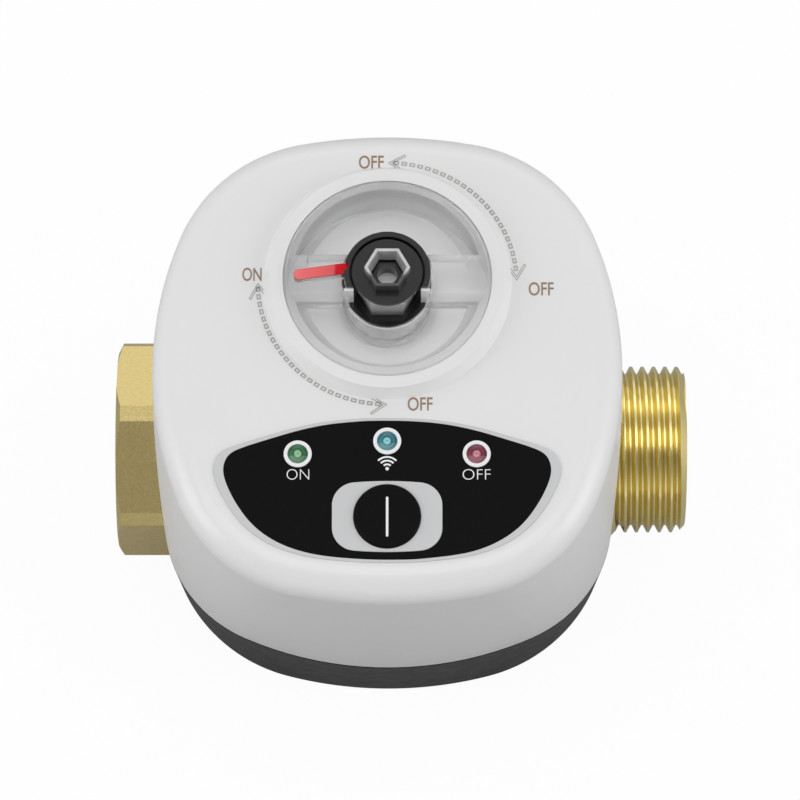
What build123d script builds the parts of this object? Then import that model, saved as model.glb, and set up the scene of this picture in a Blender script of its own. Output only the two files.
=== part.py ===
from build123d import *

import os
from math import acos, atan2, cos, hypot, pi, radians, sin, sqrt, tan

# Smart water valve: a motor-driven ball valve in a two-part housing with a clear hand knob on top.
# Millimetres, +Z up. The origin is where the stem's axis meets the underside of the base.
# +X runs along the pipe towards the outlet thread, -Y is the front, where the panel is.

os.makedirs("parts", exist_ok=True)

# general
WALL = 2.2
TOP_WALL = 2.4
OVERRUN = 1.0
RUN_GAP = 0.06
SLIDE_GAP = 0.08
SEAT_GAP = 0.02
OPEN_GAP = 0.5

# housing outlines: foot, parting plane, middle and top
PIPE_Z = 20.0
FOOT_HALF_W = 35.3
FOOT_HALF_D = 30.75
FOOT_CENTRE_Y = -3.15
FOOT_SIDE_R = 65.0
FOOT_END_R = 65.0
FOOT_CORNER_R = 26.0
RIM_HALF_W = 36.0
RIM_HALF_D = 32.7
RIM_CENTRE_Y = -3.7
RIM_SIDE_R = 85.0
RIM_END_R = 55.0
RIM_CORNER_R = 22.0
MID_Z = 57.0
MID_HALF_W = 35.7
MID_HALF_D = 35.5
MID_CENTRE_Y = -8.1
MID_SIDE_R = 68.0
MID_END_R = 60.0
MID_CORNER_R = 21.0
TOP_Z = 93.8
TOP_HALF_W = 34.6
TOP_HALF_D = 36.7
TOP_CENTRE_Y = -12.5
TOP_SIDE_R = 55.0
TOP_END_R = 84.0
TOP_CORNER_R = 24.4
SHOULDER_R = 4.2
FOOT_EDGE_R = 1.5
GASKET_T = 0.4
GASKET_W = 1.5
GASKET_INSET = 0.25
FLOOR_T = 2.2

# pipe parts
HEX_AF = 30.6
HEX_END_X = -42.8
HEX_INNER_X = -30.0
HEX_EDGE_L = 1.5
HEX_CHAMFER = 1.1
HEX_CHAMFER_IN = 2.2
THREAD_MAJOR_R = 26.441 / 2
THREAD_MINOR_R = 24.117 / 2
THREAD_PITCH = 25.4 / 14
THREAD_HALF_ANGLE = 27.5
THREAD_CREST = 0.36
THREAD_RISE = 0.3
THREAD_START_ANGLE = 180.0
INLET_THREAD_LEN = 12.0
INLET_RELIEF_LEN = 2.4
INLET_RELIEF_R = 13.4
NECK_R = 15.0
PLUG_R = 13.82
PLUG_FACE_X = -22.0
PLUG_END_X = -11.6
BODY_R = 17.0
CHAMBER_R = 13.9
BODY_SHOULDER_X = 19.0
BODY_CONE_X = 22.0
COLLAR_END_X = 34.2
RELIEF_R = 12.9
OUT_THREAD_X = 37.2
OUT_END_X = 47.1
OUT_CHAMFER = 1.1
PASSAGE_R = 8.5
OPENING_IN_R = 17.7
OPENING_OUT_R = 15.6
SEAL_X = 26.0
SEAL_W = 4.0
SEAL_R = 17.2
SADDLE_HALF_D = 19.5
OPENING_IN_X = -29.6
OPENING_OUT_X = 29.6

# ball, seats and stem
BALL_R = 13.5
SEAT_IN_X = 7.0
SLOT_W = 3.1
SLOT_FLOOR_Z = 30.2
TONGUE_W = 3.0
TONGUE_L = 8.0
TONGUE_Z = 30.4
STEM_R = 4.5
STEM_FLANGE_R = 5.6
STEM_FLANGE_Z = 34.7
WASHER_Z = 37.0
COUNTERBORE_R = 5.9
COUNTERBORE_Z = 38.0
ORING_SECTION_R = 0.55
ORING_GROOVE_W = 1.3
ORING_Z = (39.3, 41.5)
BOSS_R = 7.7
BOSS_ROOT_R = 9.5
PACK_R = 6.2
PACK_Z = 43.0
PACK_TOP_Z = 45.9
BOSS_TOP_Z = 47.0
FLANGE_Z = 40.0
FLANGE_T = 4.0
FLANGE_W = 22.0
FLANGE_CORNER_R = 3.5
PILLAR_XY = 8.3
PILLAR_AF = 5.0
PILLAR_BORE_R = 1.25
GLAND_AF = 12.5
GLAND_TOP_Z = 50.5
STEM_SQUARE = 5.6
STEM_SQUARE_Z = 51.5
STEM_TOP_Z = 57.5

# gear frame
PLATE_LOW_Z = 55.0
PLATE_T = 2.0
PLATE_HIGH_Z = 77.5
PLATE_HALF_W = 26.5
PLATE_FRONT_Y = -34.0
PLATE_BACK_Y = 18.0
PLATE_CORNER_R = 8.0
SPACER_R = 2.0
SPACER_BACK_X = 15.6
SPACER_BACK_Y = 14.6
SPACER_FRONT_X = (20.5, -20.5)
SPACER_FRONT_Y = (-28.5, -31.4)
BUSH_R = 7.0
BUSH_HIGH_R = 5.8
BUSH_LIP = 0.6
BUSH_LIP_R = 0.9

# gears
MODULE = 0.6
PRESSURE_ANGLE = 25.0
ADDENDUM_SHARE = 0.8
DEDENDUM_SHARE = 1.05
BACKLASH = 0.06
OUTPUT_TEETH = 56
SMALL_2_TEETH = 14
BIG_TEETH = 42
SMALL_1_TEETH = 12
PINION_TEETH = 12
ANGLE_2 = -135.0
ANGLE_1 = -50.0
ANGLE_M = 20.0
PINION_Z = 57.7
BIG_1_Z = 58.2
GEAR_LOW_T = 3.6
SMALL_1_Z = 61.8
BIG_2_Z = 62.6
BIG_2_T = 3.8
SMALL_1_TOP_Z = 66.9
SMALL_2_TOP_Z = 73.0
OUTPUT_Z = 67.5
OUTPUT_T = 5.0
AXLE_R = 1.0
HUB_RING_R = 2.4
WEB_OUT_SHARE = 0.82
WEB_IN_SHARE = 0.4
WEB_RECESS = 0.8
MOTOR_R = 9.0
MOTOR_L = 21.0
MOTOR_FLAT = 7.6
MOTOR_NOSE_R = 3.0
MOTOR_NOSE_T = 1.5
MOTOR_SHAFT_R = 0.75
MOTOR_SHAFT_TOP_Z = 62.0
MOTOR_CAP_R = 6.0
MOTOR_CAP_T = 1.0
MOTOR_SCREW_X = 6.0

# drive shaft and clutch
SHAFT_R = 4.0
SHAFT_FOOT_R = 5.0
SHAFT_FOOT_Z = 51.7
SHAFT_FOOT_TOP_Z = 60.0
SHAFT_FLANGE_R = 6.5
SHAFT_FLANGE_Z = 66.0
SHAFT_TOP_Z = 88.0
SHAFT_HEX_AF = 6.0
SHAFT_HEX_Z = 81.0
CLUTCH_RING_R = 9.0
CLUTCH_RING_T = 1.2
CLUTCH_SPRING_R = 8.2
CLUTCH_SPRING_H = 1.1
CLUTCH_SPRING_T = 0.45
CLUTCH_COLLAR_R = 6.4
CLUTCH_COLLAR_T = 1.0
STACK_GAP = 0.05
MAGNET_R = 1.5
MAGNET_ORBIT = 12.4
MAGNET_ANGLE = 45.0
MAGNET_T = 2.0
SENSOR_W = 4.0
SENSOR_T = 1.5

# knob and its middle
KNOB_R = 15.38
COLLAR_IN_R = 15.46
COLLAR_R = 17.3
COLLAR_FOOT_R = 18.4
RING_Z = 95.9
WELL_FLOOR_Z = 84.0
WELL_FLOOR_T = 2.0
WELL_HOLE_R = 5.9
SHAFT_SEAL_R = 7.6
SHAFT_SEAL_T = 1.0
KNOB_BASE_Z = 84.5
POCKET_DEPTH = 4.0
POCKET_Z = RING_Z - POCKET_DEPTH
POCKET_R = 14.1
POCKET_FLOOR_R = 12.2
BAR_W = 7.7
BAR_EDGE_R = 1.5
BAR_REACH = 14.6
KNOB_BORE_R = 6.8
KNOB_EDGE_R = 0.5
HUB_R = 6.5
HUB_NECK_R = 5.5
HUB_FOOT_Z = 80.4
HUB_TOP_Z = 92.9
BAR_RISE = 3.7
BAR_TOP_Z = HUB_TOP_Z + BAR_RISE
HUB_CUP_R = 5.6
HUB_CUP_DEPTH = 2.0
HUB_CUP_Z = HUB_TOP_Z - HUB_CUP_DEPTH
HUB_RING_T = 0.7
HUB_WALL_R = 6.4
HUB_WALL_H = 5.3
HUB_WALL_FRONT_Y = -2.35
NUT_AF = 8.0
NUT_RISE = 1.0
NUT_TOP_Z = BAR_TOP_Z + NUT_RISE
DISC_R = 5.2
DISC_T = 0.5
DISC_TOP_Z = NUT_TOP_Z + DISC_T
SOCKET_AF = 5.85
SOCKET_H = 2.1
SOCKET_TOP_Z = DISC_TOP_Z + SOCKET_H
SOCKET_WALL = 0.42
SOCKET_INNER_AF = 3.9
SOCKET_SINK = 0.6
SOCKET_STEP_Z = NUT_TOP_Z - SOCKET_SINK
SOCKET_HOLE_R = 1.5
SOCKET_FOOT_R = 3.0
TAB_X = 5.65
TAB_W = 1.35
TAB_D = 0.4
TAB_Y = HUB_WALL_FRONT_Y - SEAT_GAP - TAB_D / 2
TAB_H = 4.7
POINTER_L = 8.2
POINTER_W = 1.65
POINTER_X = -9.75
POINTER_Y = 0.65
POINTER_TILT = 8.0
POINTER_T = 1.4
POINTER_PROUD = 0.15

# panel, lamps and button
PANEL_HALF_W = 24.0
PANEL_BACK_Y = -21.75
PANEL_DEPTH = 21.5
PANEL_X_SHARES = (
    0.0, 0.18, 0.357, 0.464, 0.587, 0.74, 0.893, 0.962, 0.998, 0.977, 0.893, 0.816, 0.663, 0.472, 0.25, 0.0
)
PANEL_Y_SHARES = (
    0.0, 0.006, 0.027, 0.05, 0.086, 0.14, 0.199, 0.244, 0.335, 0.461, 0.641, 0.75, 0.876, 0.953, 0.988, 1.0
)
BORDER_SIDE = 1.5
BORDER_END = 0.45
PANEL_POCKET = 0.9
PANEL_PROUD = 0.1
BORDER_PROUD = 0.2
LAMP_X = 13.1
LAMP_SIDE_Y = -26.95
LAMP_MID_Y = -24.95
LAMP_R = 1.5
LAMP_HOLE_R = 1.6
LAMP_RING_R = 2.05
LAMP_RING_PROUD = 0.25
LAMP_PROUD = 0.45
LAMP_FOOT_Z = 86.2
LAMP_FOOT_R = 2.2
LAMP_FOOT_T = 0.8
CHIP_W = 1.6
CHIP_T = 0.8
BUTTON_Y = -36.6
PAD_W = 16.1
PAD_D = 10.9
PAD_END_R = 55.0
PAD_CORNER_R = 3.5
PAD_PROUD = 0.25
BUTTON_R = 4.9
BUTTON_PROUD = 0.7
BUTTON_EDGE_R = 0.35
BUTTON_LIP_R = 5.6
BUTTON_LIP_T = 0.8
BUTTON_STEM_R = 2.0
BUTTON_TRAVEL = 0.4
SWITCH_W = 6.0
SWITCH_T = 3.2
PLUNGER_R = 1.6
PLUNGER_T = 0.9

# board
BOARD_Z = 83.0
BOARD_T = 1.6
BOARD_HALF_W = 26.0
BOARD_FRONT_Y = -42.0
BOARD_BACK_Y = -14.0
BOARD_CORNER_R = 13.0
BOARD_CLEAR_R = 19.5
BOARD_POST_X = (22.3, 12.0)
BOARD_POST_Y = (-20.0, -39.2)
BOARD_POST_R = 2.4
BOARD_SCREW_R = 0.9
BOARD_HEAD_R = 1.8
BOARD_HEAD_T = 1.2
RADIO_X = -17.6
RADIO_Y = -33.6
RADIO_W = 9.0
RADIO_D = 7.0
RADIO_T = 2.4
CONNECTOR_X = 6.0
CONNECTOR_Y = -31.0
CONNECTOR_W = 7.5
CONNECTOR_D = 4.0
CONNECTOR_T = 2.6
CAPACITOR_X = (17.0, 21.0)
CAPACITOR_Y = (-32.5, -27.4)
CAPACITOR_R = 2.2
CAPACITOR_H = 5.4

# screws and jack
SCREW_X = (27.0, 20.0)
SCREW_Y = (-20.5, 20.3)
SCREW_POST_R = 2.9
SCREW_RIB_L = 7.0
SCREW_RIB_W = 2.0
POST_INSET = 1.2
SCREW_R = 1.4
SCREW_CLEAR_R = 1.7
SCREW_HEAD_R = 2.3
SCREW_HEAD_T = 2.2
SCREW_HEAD_Z = 3.0
SCREW_TOP_Z = 33.0
COVER_POST_Z = 36.0
PLATE_HEAD_R = 2.2
PLATE_HEAD_T = 1.6
PLATE_SCREW_R = 1.15
DRIVE_SLOT_SHARE = 0.55
DRIVE_DEPTH_SHARE = 0.55
JACK_Z = 48.3
JACK_R = 4.0
JACK_PAD_R = 7.5
JACK_PAD_Y = 29.0
JACK_BODY_L = 13.0
JACK_LIP_R = 5.2
JACK_LIP_T = 0.8
JACK_MOUTH_R = 2.8
JACK_MOUTH_L = 9.5
JACK_PIN_R = 1.0
JACK_NUT_R = 6.0
JACK_NUT_T = 2.0
JACK_WALL_FACE_Y = 24.6

PIPE_AXIS = Axis((0, 0, PIPE_Z), (1, 0, 0))


def oval_points(half_w, half_d, side_r, end_r, corner_r):
    """Joins of the side, corner and end arcs of one quarter, which run into each other smoothly."""
    side_x = half_w - side_r
    end_y = half_d - end_r
    span = hypot(side_x, end_y)
    reach_side = side_r - corner_r
    reach_end = end_r - corner_r
    along = (reach_side**2 - reach_end**2 + span**2) / (2 * span)
    across = sqrt(reach_side**2 - along**2)
    ux, uy = -side_x / span, end_y / span
    best = None
    for sign in (1, -1):
        cx = side_x + along * ux + sign * across * uy
        cy = along * uy - sign * across * ux
        if cx > 0 and cy > 0:
            best = (cx, cy)
    cx, cy = best
    side_angle = atan2(cy, cx - side_x)
    end_angle = atan2(cy - end_y, cx)
    middle = (side_angle + end_angle) / 2
    join_side = (cx + corner_r * cos(side_angle), cy + corner_r * sin(side_angle))
    corner = (cx + corner_r * cos(middle), cy + corner_r * sin(middle))
    join_end = (cx + corner_r * cos(end_angle), cy + corner_r * sin(end_angle))
    return join_side, corner, join_end


def oval_face(z, half_w, half_d, centre_y, side_r, end_r, corner_r, inset=0):
    """A level face bounded by eight arcs, drawn in by inset all round."""
    a = half_w - inset
    b = half_d - inset
    (sx, sy), (mx, my), (ex, ey) = oval_points(
        a, b, side_r - inset, end_r - inset, corner_r - inset
    )
    c = centre_y
    with BuildSketch(Plane.XY.offset(z)) as face:
        with BuildLine():
            ThreePointArc((sx, c - sy), (a, c), (sx, c + sy))
            ThreePointArc((sx, c + sy), (mx, c + my), (ex, c + ey))
            ThreePointArc((ex, c + ey), (0, c + b), (-ex, c + ey))
            ThreePointArc((-ex, c + ey), (-mx, c + my), (-sx, c + sy))
            ThreePointArc((-sx, c + sy), (-a, c), (-sx, c - sy))
            ThreePointArc((-sx, c - sy), (-mx, c - my), (-ex, c - ey))
            ThreePointArc((-ex, c - ey), (0, c - b), (ex, c - ey))
            ThreePointArc((ex, c - ey), (mx, c - my), (sx, c - sy))
        make_face()
    return face.sketch


def foot_face(z, inset=0):
    return oval_face(
        z, FOOT_HALF_W, FOOT_HALF_D, FOOT_CENTRE_Y, FOOT_SIDE_R, FOOT_END_R, FOOT_CORNER_R, inset
    )


def rim_face(z, inset=0):
    return oval_face(
        z, RIM_HALF_W, RIM_HALF_D, RIM_CENTRE_Y, RIM_SIDE_R, RIM_END_R, RIM_CORNER_R, inset
    )


def mid_face(inset=0):
    return oval_face(
        MID_Z, MID_HALF_W, MID_HALF_D, MID_CENTRE_Y, MID_SIDE_R, MID_END_R, MID_CORNER_R, inset
    )


def top_face(z, inset=0):
    return oval_face(
        z, TOP_HALF_W, TOP_HALF_D, TOP_CENTRE_Y, TOP_SIDE_R, TOP_END_R, TOP_CORNER_R, inset
    )


def disc(z, r, x=0, y=0, hole=0):
    """A level round face, with a hole when one is given."""
    with BuildSketch(Plane.XY.offset(z)) as face:
        with Locations((x, y)):
            Circle(r)
            if hole:
                Circle(hole, mode=Mode.SUBTRACT)
    return face.sketch


def plate(z, width, depth, x=0, y=0, turn=0):
    """A level rectangular face."""
    with BuildSketch(Plane.XY.offset(z)) as face:
        with Locations((x, y)):
            Rectangle(width, depth, rotation=turn)
    return face.sketch


def hexagon(z, across_flats):
    """A level hexagon whose flats face front and back."""
    with BuildSketch(Plane.XY.offset(z)) as face:
        RegularPolygon(across_flats / 2, 6, major_radius=False)
    return face.sketch


def upright_profile(points):
    """A closed profile of (radius, height) points, to be turned about the stem's axis."""
    with BuildSketch(Plane.XZ) as face:
        with BuildLine():
            Polyline(*points, close=True)
        make_face()
    return face.sketch


def pipe_profile(points):
    """A closed profile of (x, radius) points, to be turned about the pipe's axis."""
    with BuildSketch(Plane.XZ) as face:
        with BuildLine():
            Polyline(*[(x, PIPE_Z + r) for x, r in points], close=True)
        make_face()
    return face.sketch


def pipe_disc(x, r, hole=0):
    """A round face square to the pipe."""
    plane = Plane(origin=(x, 0, PIPE_Z), x_dir=(0, 1, 0), z_dir=(1, 0, 0))
    with BuildSketch(plane) as face:
        Circle(r)
        if hole:
            Circle(hole, mode=Mode.SUBTRACT)
    return face.sketch


def back_disc(y, r, z, hole=0):
    """A round face looking backwards."""
    plane = Plane(origin=(0, y, z), x_dir=(-1, 0, 0), z_dir=(0, 1, 0))
    with BuildSketch(plane) as face:
        Circle(r)
        if hole:
            Circle(hole, mode=Mode.SUBTRACT)
    return face.sketch


def involute(angle):
    return tan(angle) - angle


def gear_face(z, teeth, centre, phase):
    """A level spur gear face; phase is the direction of one tooth in degrees."""
    pitch_r = MODULE * teeth / 2
    base_r = pitch_r * cos(radians(PRESSURE_ANGLE))
    tip_r = pitch_r + MODULE * ADDENDUM_SHARE
    root_r = pitch_r - MODULE * DEDENDUM_SHARE
    start_r = max(base_r, root_r)
    half_pitch = (pi * MODULE / 2 - BACKLASH) / (2 * pitch_r)

    def half_angle(r):
        slope = acos(min(1, base_r / r))
        return half_pitch + involute(radians(PRESSURE_ANGLE)) - involute(slope)

    def at(r, angle):
        return (centre[0] + r * cos(angle), centre[1] + r * sin(angle))

    middle_r = (start_r + tip_r) / 2
    step = 2 * pi / teeth
    with BuildSketch(Plane.XY.offset(z)) as face:
        with BuildLine():
            for n in range(teeth):
                t = radians(phase) + n * step
                low, mid, high = half_angle(start_r), half_angle(middle_r), half_angle(tip_r)
                if start_r > root_r:
                    Line(at(root_r, t - low), at(start_r, t - low))
                ThreePointArc(at(start_r, t - low), at(middle_r, t - mid), at(tip_r, t - high))
                ThreePointArc(at(tip_r, t - high), at(tip_r, t), at(tip_r, t + high))
                ThreePointArc(at(tip_r, t + high), at(middle_r, t + mid), at(start_r, t + low))
                if start_r > root_r:
                    Line(at(start_r, t + low), at(root_r, t + low))
                ThreePointArc(
                    at(root_r, t + low), at(root_r, t + step / 2), at(root_r, t + step - low)
                )
        make_face()
    return face.sketch


def meshing_phase(phase, teeth, direction, mate_teeth):
    """The mate's tooth direction that puts a gap where this gear has a tooth."""
    pitch = 360 / teeth
    mate_pitch = 360 / mate_teeth
    share = (direction - phase) / pitch
    return direction + 180 - mate_pitch * (0.5 - share)


def centre_from(start, direction, teeth, mate_teeth):
    reach = MODULE * (teeth + mate_teeth) / 2
    angle = radians(direction)
    return (start[0] + reach * cos(angle), start[1] + reach * sin(angle))


CENTRE_2 = centre_from((0, 0), ANGLE_2, OUTPUT_TEETH, SMALL_2_TEETH)
CENTRE_1 = centre_from(CENTRE_2, ANGLE_1, BIG_TEETH, SMALL_1_TEETH)
CENTRE_M = centre_from(CENTRE_1, ANGLE_M, BIG_TEETH, PINION_TEETH)
PHASE_SMALL_2 = meshing_phase(0, OUTPUT_TEETH, ANGLE_2, SMALL_2_TEETH)
PHASE_SMALL_1 = meshing_phase(0, BIG_TEETH, ANGLE_1, SMALL_1_TEETH)
PHASE_PINION = meshing_phase(0, BIG_TEETH, ANGLE_M, PINION_TEETH)

SCREW_SPOTS = [(side * x, y) for x, y in zip(SCREW_X, SCREW_Y) for side in (-1, 1)]
BOARD_SPOTS = [(side * x, y) for x, y in zip(BOARD_POST_X, BOARD_POST_Y) for side in (-1, 1)]
PILLAR_SPOTS = [(i * PILLAR_XY, j * PILLAR_XY) for i in (-1, 1) for j in (-1, 1)]
SPACER_SPOTS = [(SPACER_BACK_X, SPACER_BACK_Y), (-SPACER_BACK_X, SPACER_BACK_Y)] + list(
    zip(SPACER_FRONT_X, SPACER_FRONT_Y)
)
LAMP_SPOTS = {
    "led_on": (-LAMP_X, LAMP_SIDE_Y),
    "led_signal": (0, LAMP_MID_Y),
    "led_off": (LAMP_X, LAMP_SIDE_Y),
}


def save(part, name):
    part.part.label = name
    export_step(part.part, f"parts/{name}.step")


def panel_face(z, grow_side=0, grow_end=0):
    """The panel's outline, wider by grow_side at each side and deeper by grow_end at each end."""
    half_w = PANEL_HALF_W + grow_side
    depth = PANEL_DEPTH + 2 * grow_end
    back = PANEL_BACK_Y + grow_end
    right = [(sx * half_w, back - sy * depth) for sx, sy in zip(PANEL_X_SHARES, PANEL_Y_SHARES)]
    left = [(-x, y) for x, y in reversed(right)]
    with BuildSketch(Plane.XY.offset(z)) as face:
        with BuildLine():
            Spline(*right, tangents=[(1, 0), (-1, 0)])
            Spline(*left, tangents=[(-1, 0), (1, 0)])
        make_face()
    return face.sketch


def pad_face(z, grow=0):
    """The button pad: straight sides, bowed ends."""
    half_w = PAD_W / 2 + grow
    half_d = PAD_D / 2 + grow
    bow = PAD_END_R - sqrt(PAD_END_R**2 - half_w**2)
    y0 = BUTTON_Y
    with BuildSketch(Plane.XY.offset(z)) as face:
        with BuildLine():
            ThreePointArc((half_w, y0 + half_d - bow), (0, y0 + half_d), (-half_w, y0 + half_d - bow))
            Line((-half_w, y0 + half_d - bow), (-half_w, y0 - half_d + bow))
            ThreePointArc(
                (-half_w, y0 - half_d + bow), (0, y0 - half_d), (half_w, y0 - half_d + bow)
            )
            Line((half_w, y0 - half_d + bow), (half_w, y0 + half_d - bow))
        make_face()
        fillet(face.vertices(), PAD_CORNER_R)
    return face.sketch


def post_face(z, within):
    """The screw posts and the ribs that tie them to the wall, kept inside a given outline."""
    with BuildSketch(Plane.XY.offset(z)) as face:
        with Locations(*SCREW_SPOTS):
            Circle(SCREW_POST_R)
        for x, y in SCREW_SPOTS:
            side = 1 if x > 0 else -1
            with Locations((x + side * SCREW_RIB_L / 2, y)):
                Rectangle(SCREW_RIB_L, SCREW_RIB_W)
        add(within, mode=Mode.INTERSECT)
    return face.sketch


def pointer_face(z, grow=0):
    """The pointer's outline on the grip bar."""
    with BuildSketch(Plane.XY.offset(z)) as face:
        with Locations((POINTER_X, POINTER_Y)):
            SlotOverall(POINTER_L + 2 * grow, POINTER_W + 2 * grow, rotation=POINTER_TILT)
    return face.sketch


def plate_face(z):
    """The outline of the gear plates."""
    middle_y = (PLATE_FRONT_Y + PLATE_BACK_Y) / 2
    with BuildSketch(Plane.XY.offset(z)) as face:
        with Locations((0, middle_y)):
            RectangleRounded(2 * PLATE_HALF_W, PLATE_BACK_Y - PLATE_FRONT_Y, PLATE_CORNER_R)
    return face.sketch


def thread_groove(r_from, r_to, x_start, length):
    """The solid a thread's groove takes away, wound round the pipe's axis from x_start."""
    outside = r_from > r_to
    lip = r_from + (THREAD_RISE if outside else -THREAD_RISE)
    depth = abs(r_from - r_to)
    open_w = THREAD_PITCH - THREAD_CREST
    slope = tan(radians(THREAD_HALF_ANGLE))
    root_w = open_w - 2 * depth * slope
    lip_w = open_w + 2 * THREAD_RISE * slope
    path = Helix(THREAD_PITCH, length, r_from)
    with BuildSketch(Plane.XZ) as cut:
        with BuildLine():
            Polyline(
                (lip, -lip_w / 2), (r_to, -root_w / 2), (r_to, root_w / 2), (lip, lip_w / 2), close=True
            )
        make_face()
    groove = sweep(cut.sketch, path=path, is_frenet=True, mode=Mode.PRIVATE)
    return Pos(x_start, 0, PIPE_Z) * Rot(THREAD_START_ANGLE, 0, 0) * Rot(0, 90, 0) * groove


# lower housing
with BuildPart() as base_housing:
    loft(sections=[foot_face(0), rim_face(PIPE_Z - GASKET_T)])
    fillet(base_housing.faces().sort_by(Axis.Z)[0].edges(), FOOT_EDGE_R)
    loft(
        sections=[foot_face(FLOOR_T, WALL), rim_face(PIPE_Z - GASKET_T, WALL)], mode=Mode.SUBTRACT
    )
    extrude(
        post_face(FLOOR_T, foot_face(FLOOR_T, POST_INSET)), amount=PIPE_Z - GASKET_T - FLOOR_T
    )
    with BuildSketch(Plane.XY.offset(FLOOR_T)) as saddles:
        with Locations((-SEAL_X, 0), (SEAL_X, 0)):
            Rectangle(SEAL_W, 2 * SADDLE_HALF_D)
        add(foot_face(FLOOR_T, POST_INSET), mode=Mode.INTERSECT)
    extrude(amount=PIPE_Z - GASKET_T - FLOOR_T)
    with BuildSketch(Plane.XY) as heads:
        with Locations(*SCREW_SPOTS):
            Circle(SCREW_HEAD_R + SEAT_GAP)
    extrude(amount=SCREW_HEAD_Z, mode=Mode.SUBTRACT)
    with BuildSketch(Plane.XY) as shanks:
        with Locations(*SCREW_SPOTS):
            Circle(SCREW_CLEAR_R)
    extrude(amount=PIPE_Z, mode=Mode.SUBTRACT)
    extrude(pipe_disc(OPENING_IN_X, OPENING_IN_R), amount=-RIM_HALF_W, mode=Mode.SUBTRACT)
    extrude(pipe_disc(OPENING_OUT_X, OPENING_OUT_R), amount=RIM_HALF_W, mode=Mode.SUBTRACT)
    for x in (-SEAL_X, SEAL_X):
        extrude(
            pipe_disc(x - SEAL_W / 2 - OVERRUN, SEAL_R + SEAT_GAP),
            amount=SEAL_W + 2 * OVERRUN,
            mode=Mode.SUBTRACT,
        )
save(base_housing, "base_housing")

# upper housing
with BuildPart() as top_cover:
    loft(sections=[rim_face(PIPE_Z), mid_face(), top_face(TOP_Z)])
    fillet(top_cover.faces().sort_by(Axis.Z)[-1].edges(), SHOULDER_R)
    loft(
        sections=[rim_face(PIPE_Z, WALL), mid_face(WALL), top_face(TOP_Z - TOP_WALL, WALL)],
        mode=Mode.SUBTRACT,
    )
    # collar round the knob and the well under it
    revolve(
        upright_profile(
            (
                (0, WELL_FLOOR_Z - WELL_FLOOR_T),
                (COLLAR_R, WELL_FLOOR_Z - WELL_FLOOR_T),
                (COLLAR_R, TOP_Z - TOP_WALL),
                (COLLAR_FOOT_R, TOP_Z - TOP_WALL),
                (COLLAR_FOOT_R, TOP_Z),
                (COLLAR_R, RING_Z),
                (0, RING_Z),
            )
        ),
        axis=Axis.Z,
    )
    extrude(disc(WELL_FLOOR_Z, COLLAR_IN_R), amount=RING_Z, mode=Mode.SUBTRACT)
    extrude(
        disc(WELL_FLOOR_Z - SHAFT_SEAL_T, SHAFT_SEAL_R + SEAT_GAP),
        amount=SHAFT_SEAL_T + OVERRUN,
        mode=Mode.SUBTRACT,
    )
    extrude(
        disc(WELL_FLOOR_Z - WELL_FLOOR_T - OVERRUN, WELL_HOLE_R),
        amount=WELL_FLOOR_T + OVERRUN,
        mode=Mode.SUBTRACT,
    )
    # pocket for the panel, holes for the lamps and the button
    extrude(
        panel_face(TOP_Z - PANEL_POCKET, BORDER_SIDE, BORDER_END), amount=OVERRUN, mode=Mode.SUBTRACT
    )
    with BuildSketch(Plane.XY.offset(TOP_Z - TOP_WALL - OVERRUN)) as holes:
        with Locations(*LAMP_SPOTS.values()):
            Circle(LAMP_HOLE_R)
        with Locations((0, BUTTON_Y)):
            Circle(BUTTON_R + OPEN_GAP)
    extrude(amount=TOP_WALL + 2 * OVERRUN, mode=Mode.SUBTRACT)
    # posts the board is screwed to
    with BuildSketch(Plane.XY.offset(BOARD_Z + BOARD_T)) as board_posts:
        with Locations(*BOARD_SPOTS):
            Circle(BOARD_POST_R)
            Circle(BOARD_SCREW_R, mode=Mode.SUBTRACT)
    extrude(amount=TOP_Z - TOP_WALL - BOARD_Z - BOARD_T)
    # posts the housing screws run into
    extrude(post_face(PIPE_Z, rim_face(PIPE_Z, POST_INSET)), amount=COVER_POST_Z - PIPE_Z)
    with BuildSketch(Plane.XY.offset(PIPE_Z)) as screw_holes:
        with Locations(*SCREW_SPOTS):
            Circle(SCREW_R + SEAT_GAP)
    extrude(amount=SCREW_TOP_Z + OPEN_GAP - PIPE_Z, mode=Mode.SUBTRACT)
    # pad and hole for the power jack
    extrude(back_disc(JACK_WALL_FACE_Y, JACK_PAD_R, JACK_Z), amount=JACK_PAD_Y - JACK_WALL_FACE_Y)
    extrude(
        back_disc(JACK_WALL_FACE_Y - OVERRUN, JACK_R + SLIDE_GAP, JACK_Z),
        amount=RIM_HALF_W / 2,
        mode=Mode.SUBTRACT,
    )
    # pipe openings
    extrude(pipe_disc(OPENING_IN_X, OPENING_IN_R), amount=-RIM_HALF_W, mode=Mode.SUBTRACT)
    extrude(pipe_disc(OPENING_OUT_X, OPENING_OUT_R), amount=RIM_HALF_W, mode=Mode.SUBTRACT)
    for x in (-SEAL_X, SEAL_X):
        extrude(
            pipe_disc(x - SEAL_W / 2 - OVERRUN, SEAL_R + SEAT_GAP),
            amount=SEAL_W + 2 * OVERRUN,
            mode=Mode.SUBTRACT,
        )
save(top_cover, "top_cover")

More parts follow.
